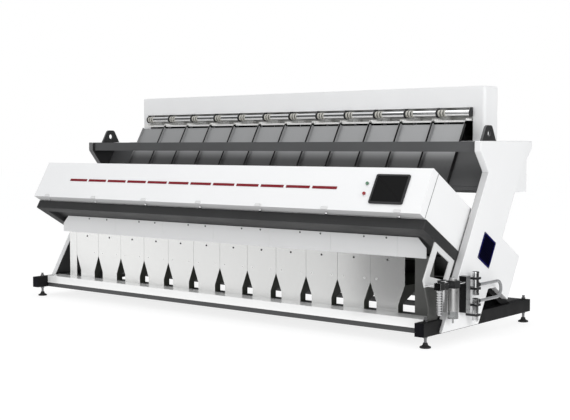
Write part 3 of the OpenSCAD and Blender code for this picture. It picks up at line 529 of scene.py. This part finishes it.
# the chutes' colour above and below; painted shade darkens them towards the lower end over the fade's Z span
chuteLook = {"upper": (0.31, 0.312, 0.315), "lower": (0.075, 0.075, 0.076), "fade": (1.335, 1.455),
             "rough": (0.36, 0.46), "metal": 0.25, "stretch": (380.0, 60.0, 5.0), "depth": 0.000004}
glassLooks = {
    "paneGlass": {"colour": (0.86, 0.92, 0.93), "rough": (0.02, 0.07), "clear": 0.92, "bend": 1.48},
    "bowlPlastic": {"colour": (0.4, 0.41, 0.41), "rough": (0.06, 0.16), "clear": 0.92, "bend": 1.48},
}


def chuteFinish(name, look):  # anodised sheet, darker towards its lower end with painted shade
    finish, nodes, links, shader, effect = startFinish(name, brushGroup)
    effect.inputs["Stretch"].default_value = look["stretch"]
    height = nodes.new("ShaderNodeSeparateXYZ")
    links.new(nodes.new("ShaderNodeTexCoord").outputs["Object"], height.inputs["Vector"])
    fade = mapRange(nodes, links, height.outputs["Z"], look["fade"])
    fade.interpolation_type = "SMOOTHSTEP"
    links.new(mixColour(nodes, links, look["lower"], look["upper"], fade.outputs["Result"]),
              shader.inputs["Base Color"])
    links.new(mapTo(nodes, links, effect.outputs["Streak"], look["rough"]), shader.inputs["Roughness"])
    addBump(nodes, links, shader, effect.outputs["Height"], look["depth"])
    shader.inputs["Metallic"].default_value = look["metal"]
    return finish


def glassFinish(name, look):
    finish, nodes, links, shader, effect = startFinish(name, coatGroup)
    shader.inputs["Base Color"].default_value = (*look["colour"], 1)
    links.new(mapTo(nodes, links, effect.outputs["Wipe"], look["rough"]), shader.inputs["Roughness"])
    shader.inputs["Transmission Weight"].default_value = look["clear"]
    shader.inputs["IOR"].default_value = look["bend"]
    return finish


finishes = {name: coatFinish(name, look) for name, look in coatLooks.items()}
finishes.update({name: brushedFinish(name, look) for name, look in brushedLooks.items()})
finishes["chuteMetalAndShade"] = chuteFinish("chuteMetalAndShade", chuteLook)
finishes.update({name: glassFinish(name, look) for name, look in glassLooks.items()})
print("finishes made:", len(finishes))


# Modelling helpers
mergeWithin = 0.00002
flatWithin = math.radians(1)  # faces that turn by less become one
sharpTurn = math.radians(35)  # edges that turn by more are sharp
cornerSteps = 5


def applyAll(piece):
    only(piece)
    for modifier in list(piece.modifiers):
        bpy.ops.object.modifier_apply(modifier=modifier.name)


def finishPiece(piece, finish, body, sharp=sharpTurn):
    piece.data.materials.clear()
    piece.data.materials.append(finishes[finish])
    only(piece)
    bpy.ops.object.shade_smooth_by_angle(angle=sharp)
    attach(piece, body)
    return piece


def addBevel(piece, width):
    bevel = piece.modifiers.new("roundEdges", "BEVEL")
    bevel.width = width
    bevel.segments = 2
    bevel.limit_method = "ANGLE"
    bevel.angle_limit = sharpTurn
    bevel.miter_outer = "MITER_ARC"


def softened(node, name, width, finish):  # a CAD node with its sharp edges rounded
    source = frame["nodes"][node]
    piece = source.copy()
    piece.data = source.data.copy()
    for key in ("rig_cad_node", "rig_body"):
        del piece[key]
    piece.parent = None
    piece.name = name
    bpy.context.scene.collection.objects.link(piece)
    only(piece)
    bpy.ops.object.mode_set(mode="EDIT")
    bpy.ops.mesh.select_all(action="SELECT")
    bpy.ops.mesh.remove_doubles(threshold=mergeWithin)
    bpy.ops.mesh.dissolve_limited(angle_limit=flatWithin)
    bpy.ops.object.mode_set(mode="OBJECT")
    addBevel(piece, width)
    applyAll(piece)
    finishPiece(piece, finish, source["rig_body"])
    flat = piece.modifiers.new("flatFaces", "WEIGHTED_NORMAL")  # wide faces keep an even shade up to their edges
    flat.keep_sharp = True
    applyAll(piece)
    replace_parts(piece, node)
    return piece


def repaint(piece, finish, test):  # the faces that pass the test get another finish
    piece.data.materials.append(finishes[finish])
    last = len(piece.data.materials) - 1
    for face in piece.data.polygons:
        if test(face.center, face.normal):
            face.material_index = last


def turned(name, rings, sides):  # rings of radius and height, each drawn up from the one before
    bpy.ops.object.select_all(action="DESELECT")
    radius, height = rings[0]
    bpy.ops.mesh.primitive_circle_add(vertices=sides, radius=radius, fill_type="NGON", location=(0, 0, height))
    piece = bpy.context.object
    piece.name = name
    settle(piece)
    bpy.ops.object.mode_set(mode="EDIT")
    bpy.ops.mesh.select_all(action="SELECT")
    for nextRadius, nextHeight in rings[1:]:
        bpy.ops.mesh.extrude_region_move(TRANSFORM_OT_translate={"value": (0, 0, nextHeight - height)})
        share = nextRadius / radius
        bpy.ops.transform.resize(value=(share, share, 1), center_override=(0, 0, nextHeight))
        radius, height = nextRadius, nextHeight
    bpy.ops.mesh.select_all(action="SELECT")
    bpy.ops.mesh.normals_make_consistent(inside=False)
    bpy.ops.object.mode_set(mode="OBJECT")
    return piece


def roundPlate(name, width, height, corner, thick, rim=0.0, sink=0.0):  # flat plate, its rim left standing
    bpy.ops.object.select_all(action="DESELECT")
    bpy.ops.mesh.primitive_plane_add(size=1)
    piece = bpy.context.object
    piece.name = name
    piece.scale = (width, height, 1)
    settle(piece)
    bpy.ops.object.mode_set(mode="EDIT")
    bpy.ops.mesh.select_all(action="SELECT")
    bpy.ops.mesh.bevel(offset=corner, segments=cornerSteps, affect="VERTICES")
    bpy.ops.mesh.select_all(action="SELECT")
    bpy.ops.mesh.extrude_region_move(TRANSFORM_OT_translate={"value": (0, 0, thick)})
    if rim:
        bpy.ops.mesh.inset(thickness=rim)
        bpy.ops.mesh.extrude_region_move(TRANSFORM_OT_translate={"value": (0, 0, -sink)})
    bpy.ops.mesh.select_all(action="SELECT")
    bpy.ops.mesh.normals_make_consistent(inside=False)
    bpy.ops.object.mode_set(mode="OBJECT")
    return piece


def spread(piece, spots, turn=(0, 0, 0)):  # a copy at each spot, all joined into one set
    name = piece.name
    copies = []
    for place in spots:
        copy = piece.copy()
        copy.data = piece.data.copy()
        copy.location = place
        copy.rotation_euler = turn
        bpy.context.scene.collection.objects.link(copy)
        copies.append(copy)
    bpy.data.objects.remove(piece)
    bpy.ops.object.select_all(action="DESELECT")
    for copy in copies:
        copy.select_set(True)
    bpy.context.view_layer.objects.active = copies[0]
    bpy.ops.object.transform_apply(location=True, rotation=True, scale=True)
    if len(copies) > 1:
        bpy.ops.object.join()
    copies[0].name = name
    return copies[0]


screwHead = [(1.0, 0.0), (1.0, 0.6), (0.84, 1.0), (0.5, 1.0), (0.44, 0.4)]  # shares of its radius and height


def screw(name, radius, height):  # cheese head with a socket
    return turned(name, [(radius * wide, height * high) for wide, high in screwHead], 12)


# Sheet-metal and frame pieces that keep their CAD shape, with rounded edges
trays = ["feeder_tray_%02d" % (i + 1) for i in range(layout["chutes"])]
softPieces = {
    # node: name of the piece, edge radius, finish
    "base_beams": ("baseBeams", 0.006, "blackCoat"),
    "cross_rails": ("crossRails", 0.005, "greyCoat"),
    "side_panel_left": ("sidePanelLeft", 0.008, "whiteCoat"),
    "side_panel_right": ("sidePanelRight", 0.008, "whiteCoat"),
    "lifting_frame": ("liftingFrame", 0.004, "beamCoat"),
    "chutes": ("chuteRow", 0.001, "chuteMetalAndShade"),
    "chute_bars": ("chuteBars", 0.004, "greyCoat"),
    "feeder_drives": ("feederDrives", 0.002, "blackCoat"),
    "gate_hangers": ("gateHangers", 0.003, "blackMould"),
    "feed_hopper_plates": ("feedHopperPlates", 0.001, "innerSteel"),
    "hood_shell": ("hoodShell", 0.01, "whiteCoat"),
    "body_front_wall": ("bodyFrontWall", 0.003, "greyCoat"),
    "body_shell": ("bodyShell", 0.003, "whiteCoat"),
    "body_deck": ("bodyDeck", 0.002, "whiteCoat"),
    "front_cover": ("frontCover", 0.006, "whiteCoat"),
    "hinge_leaves": ("hingeLeaves", 0.001, "brightChrome"),
    "status_strips": ("statusStrips", 0.002, "stripLens"),
    "front_box_shell": ("frontBoxShell", 0.003, "whiteCoat"),
    "rear_box_shell": ("rearBoxShell", 0.003, "whiteCoat"),
    "box_glass": ("boxGlass", 0.001, "paneGlass"),
    "cameras": ("lineCameras", 0.003, "blackMould"),
    "camera_rails": ("cameraRails", 0.002, "plainAluminium"),
    "light_bars": ("lightBars", 0.006, "lampCover"),
    "cradle": ("cradleFrame", 0.005, "cradleCoat"),
    "apron_plates": ("apronPlates", 0.001, "apronCoat"),
    "front_hoppers": ("frontHoppers", 0.001, "hopperSteel"),
    # reject hoppers dark all over: painted shade
    "reject_hoppers": ("rejectHoppers", 0.001, "hopperPaintedShade"),
    "outlet_shelf": ("outletShelf", 0.001, "shelfSteel"),
    "ejector_manifold": ("ejectorManifold", 0.002, "plainAluminium"),
    "air_rail": ("airRail", 0.004, "greyCoat"),
    "leg_bracket": ("legBracket", 0.003, "bracketCoat"),
    "foot_stems": ("footStems", 0.001, "stemSteel"),
    "manifold_block": ("manifoldBlock", 0.003, "plainAluminium"),
    "filter_heads": ("filterHeads", 0.002, "brightChrome"),
    "filter_bowl": ("filterBowl", 0.002, "bowlPlastic"),
    "shutoff_lever": ("shutoffLever", 0.002, "blackMould"),
    "air_pipes": ("airPipes", 0.001, "darkChrome"),
    "air_hoses": ("airHoses", 0.0005, "hoseSleeve"),
}
soft = {name: softened(node, name, width, finish) for node, (name, width, finish) in softPieces.items()}
for i, node in enumerate(trays):
    softened(node, "feederTray%02d" % (i + 1), 0.001, "traySteel")
print("rounded pieces made:", len(softPieces) + len(trays))


# Faces with a finish of their own
paintLimits = {
    "bracketLeg": 0.445,  # Z below which the bracket is dark
    "panelStep": 1.27,  # Z where the side panels' front edges change between white and painted shade
    "wallBand": 1.138,  # Z below which the front wall gets a band of painted light on its cross tube
    "beamTop": 0.195,  # Z below which the base beams' front ends get painted shade
    "blank": 1.99,  # X from which the hoppers' front is dark: dark coat and painted shade
    "chuteSide": 0.02,  # X from a chute's middle past which outward faces get painted shade
    "pipe": 0.0256,  # radius beyond which the air pipes are black
}
airZones = {
    # Y from front to back, Z from low to high
    "regulator": ((-0.62, -0.536), (0.43, 1.0)),
    "filter": ((-0.63, -0.53), (0.0, 0.43)),
    "lubricator": ((-0.744, -0.68), (0.0, 0.431)),
    "inletTube": ((-1.0, -0.745), (0.0, 0.431)),
}


def fromChute(x):  # how far a place is from the middle of its chute
    middle = layout["chutePitch"] / 2
    return (x - layout["shift"][0] + rowHalf) % layout["chutePitch"] - middle


def fromPipe(at):  # how far a place is from the middle of the air pipes
    middle = spot(*layout["airPipe"], 0)
    return math.hypot(at.x - middle.x, at.y - middle.y)


def inZone(at, zone):
    (front, back), (low, high) = airZones[zone]
    return spot(0, front, 0).y < at.y < spot(0, back, 0).y and low < at.z < high


def cutLevel(piece, z):  # a level cut, so that the faces above and below it can differ
    only(piece)
    bpy.ops.object.mode_set(mode="EDIT")
    bpy.ops.mesh.select_all(action="SELECT")
    bpy.ops.mesh.bisect(plane_co=(0, 0, z), plane_no=(0, 0, 1))
    bpy.ops.object.mode_set(mode="OBJECT")


cutLevel(soft["legBracket"], paintLimits["bracketLeg"])
paintRules = [
    # piece, finish, test of a face's middle and normal
    # bracket below the cut: dark coat and painted shade
    ("legBracket", "blankCoatAndShade", lambda at, way: at.z < paintLimits["bracketLeg"]),
    # left panel's inner face: dark coat and painted shade
    ("sidePanelLeft", "innerCoatAndShade", lambda at, way: way.x > 0.9),
    # left panel's front edge above the step: painted shade
    ("sidePanelLeft", "paintedFlareShade", lambda at, way: way.y < -0.4 and at.z > paintLimits["panelStep"]),
    # right panel's inner face: dark coat and painted shade
    ("sidePanelRight", "innerCoatAndShade", lambda at, way: way.x < -0.9),
    # right panel's front edge below the step: painted shade
    ("sidePanelRight", "paintedEdgeShade", lambda at, way: way.y < -0.4 and at.z < paintLimits["panelStep"]),
    # cover lip's underside: painted shade
    ("frontCover", "paintedEdgeShade", lambda at, way: way.z < -0.5),
    ("liftingFrame", "cradleCoat", lambda at, way: abs(way.x) > 0.9),
    # front wall's cross tube: painted light
    ("bodyFrontWall", "paintedTubeLight", lambda at, way: way.y < -0.9 and at.z < paintLimits["wallBand"]),
    # hopper faces that do not face the front: painted shade
    ("frontHoppers", "hopperPaintedShade", lambda at, way: way.y > -0.9),
    # blank at the hopper row's right end: dark coat and painted shade
    ("frontHoppers", "blankCoatAndShade", lambda at, way: way.y < -0.9 and at.x > spot(paintLimits["blank"], 0, 0).x),
    # base beams' front end faces: painted shade
    ("baseBeams", "paintedBeamEndShade", lambda at, way: way.y < -0.8 and at.z < paintLimits["beamTop"]),
    # chute sides that face the gaps between chutes: painted shade
    ("chuteRow", "innerCoatAndShade", lambda at, way: way.x * fromChute(at.x) > paintLimits["chuteSide"]),
    ("manifoldBlock", "blackCoat", lambda at, way: way.y < -0.7),
    ("filterHeads", "blackMould", lambda at, way: inZone(at, "regulator")),
    ("filterHeads", "castZinc", lambda at, way: inZone(at, "filter")),
    ("filterHeads", "lubricatorMetal", lambda at, way: inZone(at, "lubricator")),
    ("filterHeads", "flexSteel", lambda at, way: inZone(at, "inletTube")),
    ("airPipes", "blackMould", lambda at, way: fromPipe(at) > paintLimits["pipe"]),
    # box faces that face the chamber: dark coat and painted shade
    ("rearBoxShell", "innerCoatAndShade", lambda at, way: way.y < -0.3),
    ("frontBoxShell", "innerCoatAndShade", lambda at, way: way.y > 0.8),
]
for name, finish, test in paintRules:
    repaint(soft[name], finish, test)
print("faces repainted")


# Levelling feet: a round pad drawn in to its stem
footPad = {
    "rings": [(0.040, 0.0), (0.042, 0.002), (0.042, 0.010), (0.039, 0.0125), (0.030, 0.016), (0.022, 0.022),
              (0.0185, 0.030), (0.0175, 0.037), (0.014, 0.040)],
    "spots": [(x, y) for x in (-2.21, 2.21) for y in (-0.767, 0.767)],
}


def makeFeet():
    pads = spread(turned("footPads", footPad["rings"], 40), [spot(x, y, 0) for x, y in footPad["spots"]])
    finishPiece(pads, "footRubber", "frame")
    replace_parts(pads, "foot_pads")


makeFeet()


# Gate tubes over the tray lips, with the stepped collars at their left ends
gateRow = {
    "y": 0.400, "z": 1.744, "length": 0.304,
    "tube": [(0.0245, 0.0), (0.026, 0.0015), (0.026, 0.3025), (0.0245, 0.304)],
    "collar": [(0.0262, 0.004), (0.0290, 0.005), (0.0290, 0.021), (0.0262, 0.022), (0.0262, 0.033),
               (0.0290, 0.034), (0.0290, 0.050), (0.0262, 0.051), (0.0262, 0.062), (0.0290, 0.063),
               (0.0290, 0.074), (0.0262, 0.075)],
    "groove": 0.0272,  # radius below which the collars are black
}


def makeGates():
    ends = [spot(chuteX(i) - gateRow["length"] / 2, gateRow["y"], gateRow["z"]) for i in range(layout["chutes"])]
    tubes = spread(turned("gateTubes", gateRow["tube"], 48), ends, rightTurn)
    finishPiece(tubes, "brightChrome", "frame")
    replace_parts(tubes, "gate_tubes")
    collars = spread(turned("gateCollars", gateRow["collar"], 48), ends, rightTurn)
    finishPiece(collars, "collarPlastic", "frame")
    axis = spot(0, gateRow["y"], gateRow["z"])
    repaint(collars, "blackMould", lambda at, way: math.hypot(at.y - axis.y, at.z - axis.z) < gateRow["groove"])


makeGates()
print("feet and gates made")


# Touch screen and push buttons on the front cover
faceTurn = (math.radians(90) - layout["lean"], 0, 0)  # a flat piece's top turned to face out of the cover
screen = {
    "x": 1.887, "u": -0.184, "width": 0.302, "height": 0.248, "corner": 0.014, "thick": 0.010, "rim": 0.016,
    "sink": 0.006, "edge": 0.0015, "play": 0.001,
    "glass": (0.003, 0.0075, 0.004, 0.0004),  # corner, thickness, rim, sink
}


def makeScreen():
    place = [leaning(screen["x"], 0, screen["u"])]
    width, height = screen["width"], screen["height"]
    bezel = roundPlate("screenBezel", width, height, screen["corner"], screen["thick"], screen["rim"], screen["sink"])
    addBevel(bezel, screen["edge"])
    applyAll(bezel)
    bezel = finishPiece(spread(bezel, place, faceTurn), "blackMould", "cover")
    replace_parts(bezel, "screen_bezel")
    inner = 2 * screen["rim"] + screen["play"]
    glass = roundPlate("screenPanel", width - inner, height - inner, *screen["glass"])
    glass = finishPiece(spread(glass, place, faceTurn), "screenGlass", "cover")
    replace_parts(glass, "screen_panel")


makeScreen()

pushButton = {
    "x": 1.676, "green": -0.143, "red": -0.229,
    "cap": [(0.0128, 0.005), (0.013, 0.006), (0.013, 0.0160), (0.0118, 0.0185), (0.0095, 0.019), (0.0080, 0.0183)],
    "collar": [(0.018, 0.0), (0.018, 0.005), (0.0165, 0.0078), (0.0140, 0.008), (0.0134, 0.0072),
               (0.0134, 0.0005)],
}


def makeButtons():
    colours = {"green": ("startButton", "greenCap", "start_push", "green_plastic", "start_button"),
               "red": ("stopButton", "redCap", "stop_push", "red_plastic", "stop_button")}
    for key, (name, finish, body, slot, node) in colours.items():
        cap = spread(turned(name, pushButton["cap"], 36), [leaning(pushButton["x"], 0, pushButton[key])], faceTurn)
        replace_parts(finishPiece(cap, finish, body), node)
    spots = [leaning(pushButton["x"], 0, pushButton[key]) for key in colours]
    collars = spread(turned("buttonCollars", pushButton["collar"], 36), spots, faceTurn)
    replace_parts(finishPiece(collars, "satinMetal", "cover"), "button_collars")


makeButtons()


# Thumb screws under the cover's lip, each with its latch tab, and the seal behind the cover
lipKnob = {
    "count": 7, "step": 0.671, "s": 0.042, "u": -0.373,
    "rings": [(0.0095, -0.020), (0.0125, -0.0185), (0.013, -0.017), (0.013, -0.0070), (0.0118, -0.0052),
              (0.0091, -0.0050), (0.0091, 0.0)],
    "tab": (0.062, 0.022, 0.006, 0.009, 0.004, 0.0015),  # width, height, corner, thickness, rim, sink
    "tabEdge": 0.0008, "tabRise": 0.012,
}


def makeLipKnobs():
    xs = [(i - (lipKnob["count"] - 1) / 2) * lipKnob["step"] for i in range(lipKnob["count"])]
    knobSpots = [leaning(x, lipKnob["s"], lipKnob["u"]) for x in xs]
    knobs = spread(turned("coverFasteners", lipKnob["rings"], 20), knobSpots, leanTurn)
    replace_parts(finishPiece(knobs, "brightChrome", "cover"), "cover_fasteners")
    tab = roundPlate("latchTabs", *lipKnob["tab"])
    addBevel(tab, lipKnob["tabEdge"])
    applyAll(tab)
    tabSpots = [leaning(x, 0, lipKnob["u"] + lipKnob["tabRise"]) for x in xs]
    finishPiece(spread(tab, tabSpots, faceTurn), "bracketCoat", "cover")


makeLipKnobs()

coverSeal = {"s": 0.081, "width": 4.422, "height": 0.3745, "corner": 0.008, "thick": 0.0045, "wall": 0.012}


def makeSeal():
    seal = roundPlate("coverSeal", coverSeal["width"], coverSeal["height"], coverSeal["corner"], coverSeal["thick"])
    only(seal)
    bpy.ops.object.mode_set(mode="EDIT")
    bpy.ops.mesh.select_mode(type="FACE")
    bpy.ops.mesh.select_all(action="DESELECT")
    bpy.ops.object.mode_set(mode="OBJECT")
    for face in seal.data.polygons:
        face.select = abs(face.normal.z) > 0.9
    bpy.ops.object.mode_set(mode="EDIT")
    bpy.ops.mesh.delete(type="ONLY_FACE")
    bpy.ops.object.mode_set(mode="OBJECT")
    wall = seal.modifiers.new("sealWall", "SOLIDIFY")
    wall.thickness = coverSeal["wall"]
    wall.offset = -1
    applyAll(seal)
    seal = spread(seal, [leaning(0, coverSeal["s"], lipKnob["u"] / 2)], faceTurn)
    finishPiece(seal, "gasketRubber", "frame")


makeSeal()
print("cover fittings made")


# Vent on the right panel: a thin frame round a row of slats
vent = {
    "s": 0.903, "u": -0.223, "width": 0.200, "height": 0.222, "corner": 0.004, "thick": 0.005, "rim": 0.012,
    "sink": 0.004, "edge": 0.001,
    "floor": 0.003,  # height on the panel below which the grille is dark
    "slats": 11, "slat": (0.170, 0.0085, 0.003, 0.0022), "tilt": math.radians(-12),
    "screws": (0.093, 0.104, 0.0049),  # their s and u from the middle, and their height on the panel
}


def onPanel(piece, place):  # a flat piece's top turned to face out of the right panel, its sides on the lean
    return spread(spread(piece, [(0, 0, 0)], rightTurn), [place], faceTurn)


def makeVent():
    place = leaning(layout["panelOut"], vent["s"], vent["u"])
    grille = roundPlate("ventGrille", vent["width"], vent["height"], vent["corner"], vent["thick"], vent["rim"],
                        vent["sink"])
    addBevel(grille, vent["edge"])
    applyAll(grille)
    grille = finishPiece(onPanel(grille, place), "navyMould", "frame")
    floorX = place.x + vent["floor"]
    repaint(grille, "slatMould", lambda at, way: way.x > 0.9 and at.x < floorX)
    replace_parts(grille, "vent_grille")
    gap = (vent["height"] - 2 * vent["rim"]) / vent["slats"]
    rows = [(0, (i - (vent["slats"] - 1) / 2) * gap, vent["thick"] - vent["sink"]) for i in range(vent["slats"])]
    slats = spread(roundPlate("ventSlats", *vent["slat"]), rows, (vent["tilt"], 0, 0))
    finishPiece(onPanel(slats, place), "slatMould", "frame")


makeVent()


# Spot welds beside the hoppers' gaps
weldMark = {"rings": [(0.007, 0.0), (0.0062, 0.0010), (0.004, 0.0018), (0.0015, 0.0021)], "z": 0.445,
            "aside": 0.057, "sharp": math.radians(60)}


def makeWeldMarks():
    spots = [spot(i * layout["chutePitch"] - rowHalf + side * weldMark["aside"], layout["hopperFace"], weldMark["z"])
             for i in range(1, layout["chutes"]) for side in (-1, 1)]
    marks = spread(turned("hopperWelds", weldMark["rings"], 12), spots, frontTurn)
    finishPiece(marks, "satinMetal", "frame", weldMark["sharp"])


makeWeldMarks()


# Screws that hold the sheet metal
rearXs = [i * 0.52 for i in range(-4, 5)]
apronSeams = [-2.1] + [-1.337 + 2 * i * layout["chutePitch"] for i in range(6)]  # X where the plates meet
ventS, ventU, ventOut = vent["screws"]
screwRows = {
    # name: finish, radius, height, turn, places
    "hopperScrews": ("darkScrew", 0.0085, 0.004, frontTurn,
                     [spot(chuteX(i), layout["hopperFace"], 0.600) for i in range(layout["chutes"])]),
    "apronScrews": ("darkScrew", 0.0075, 0.004, frontTurn,
                    [spot(x0 + share * (x1 - x0), -0.5849, 0.770)
                     for x0, x1 in zip(apronSeams, apronSeams[1:]) for share in (0.51, 0.84)]),
    "rearCoverScrews": ("screwSteel", 0.009, 0.004, (math.radians(-90) - layout["lean"], 0, 0),
                        [leaning(x, 1.4249, u) for x in rearXs for u in (-0.358, -0.052)]),
    "rearShellScrews": ("screwSteel", 0.008, 0.003, backTurn,
                        [spot(x, y, z) for x in rearXs for y, z in ((0.8909, 1.48), (0.7939, 1.13))]),
    "hoodScrews": ("screwSteel", 0.008, 0.003, backTurn,
                   [spot(x * 0.88, 0.6509, z) for x in rearXs for z in (1.545, 1.925)]),
    "ventScrews": ("screwSteel", 0.005, 0.002, rightTurn,
                   [leaning(layout["panelOut"] + ventOut, vent["s"] + side * ventS, vent["u"] + rise * ventU)
                    for side in (-1, 1) for rise in (-1, 1)]),
    "blockScrews": ("screwSteel", 0.006, 0.004, rightTurn,
                    [spot(2.3419, y, z) for y in (-0.398, -0.364) for z in (0.25, 0.325, 0.4, 0.475)]),
    "bracketScrews": ("screwSteel", 0.008, 0.005, rightTurn,
                      [leaning(2.2119, s, -0.43) for s in (0.33, 0.45, 0.57)]),
}


def makeScrews():
    for name, (finish, radius, height, turn, places) in screwRows.items():
        finishPiece(spread(screw(name, radius, height), places, turn), finish, "frame")


makeScrews()
print("screws made")


# Fittings of the compressed-air set
airFittings = {
    "pipeEnds": [0.151, 0.312, 0.350, 0.515],
    "nut": [(0.0255, 0.0), (0.0275, 0.001), (0.0275, 0.011), (0.0255, 0.012)],
    "hoseEnds": [0.300, 0.424],
    "hoseOut": 0.0245,  # from the pipes' middle to the hose's ends
    "clip": [(0.0150, 0.0), (0.0165, 0.002), (0.0165, 0.011), (0.0140, 0.012), (0.0140, 0.016), (0.0165, 0.017),
             (0.0165, 0.030), (0.0132, 0.032)],
    "knob": [(0.024, 0.0), (0.028, 0.001), (0.028, 0.009), (0.0265, 0.011), (0.0265, 0.013), (0.028, 0.0145),
             (0.0265, 0.0165), (0.020, 0.0205), (0.010, 0.021)],
    "knobAt": (2.327, -0.578, 0.486),
}


def makeAirFittings():
    x, y = layout["airPipe"]
    nuts = spread(turned("pipeNuts", airFittings["nut"], 32), [spot(x, y, z) for z in airFittings["pipeEnds"]])
    finishPiece(nuts, "brightChrome", "frame")
    hoseSpots = [spot(x, y + airFittings["hoseOut"], z) for z in airFittings["hoseEnds"]]
    clips = spread(turned("hoseClips", airFittings["clip"], 28), hoseSpots, backTurn)
    finishPiece(clips, "blackMould", "frame")
    knob = spread(turned("pressureKnob", airFittings["knob"], 36), [spot(*airFittings["knobAt"])])
    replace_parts(finishPiece(knob, "castZinc", "knob"), "pressure_knob")


makeAirFittings()
print("air fittings made")
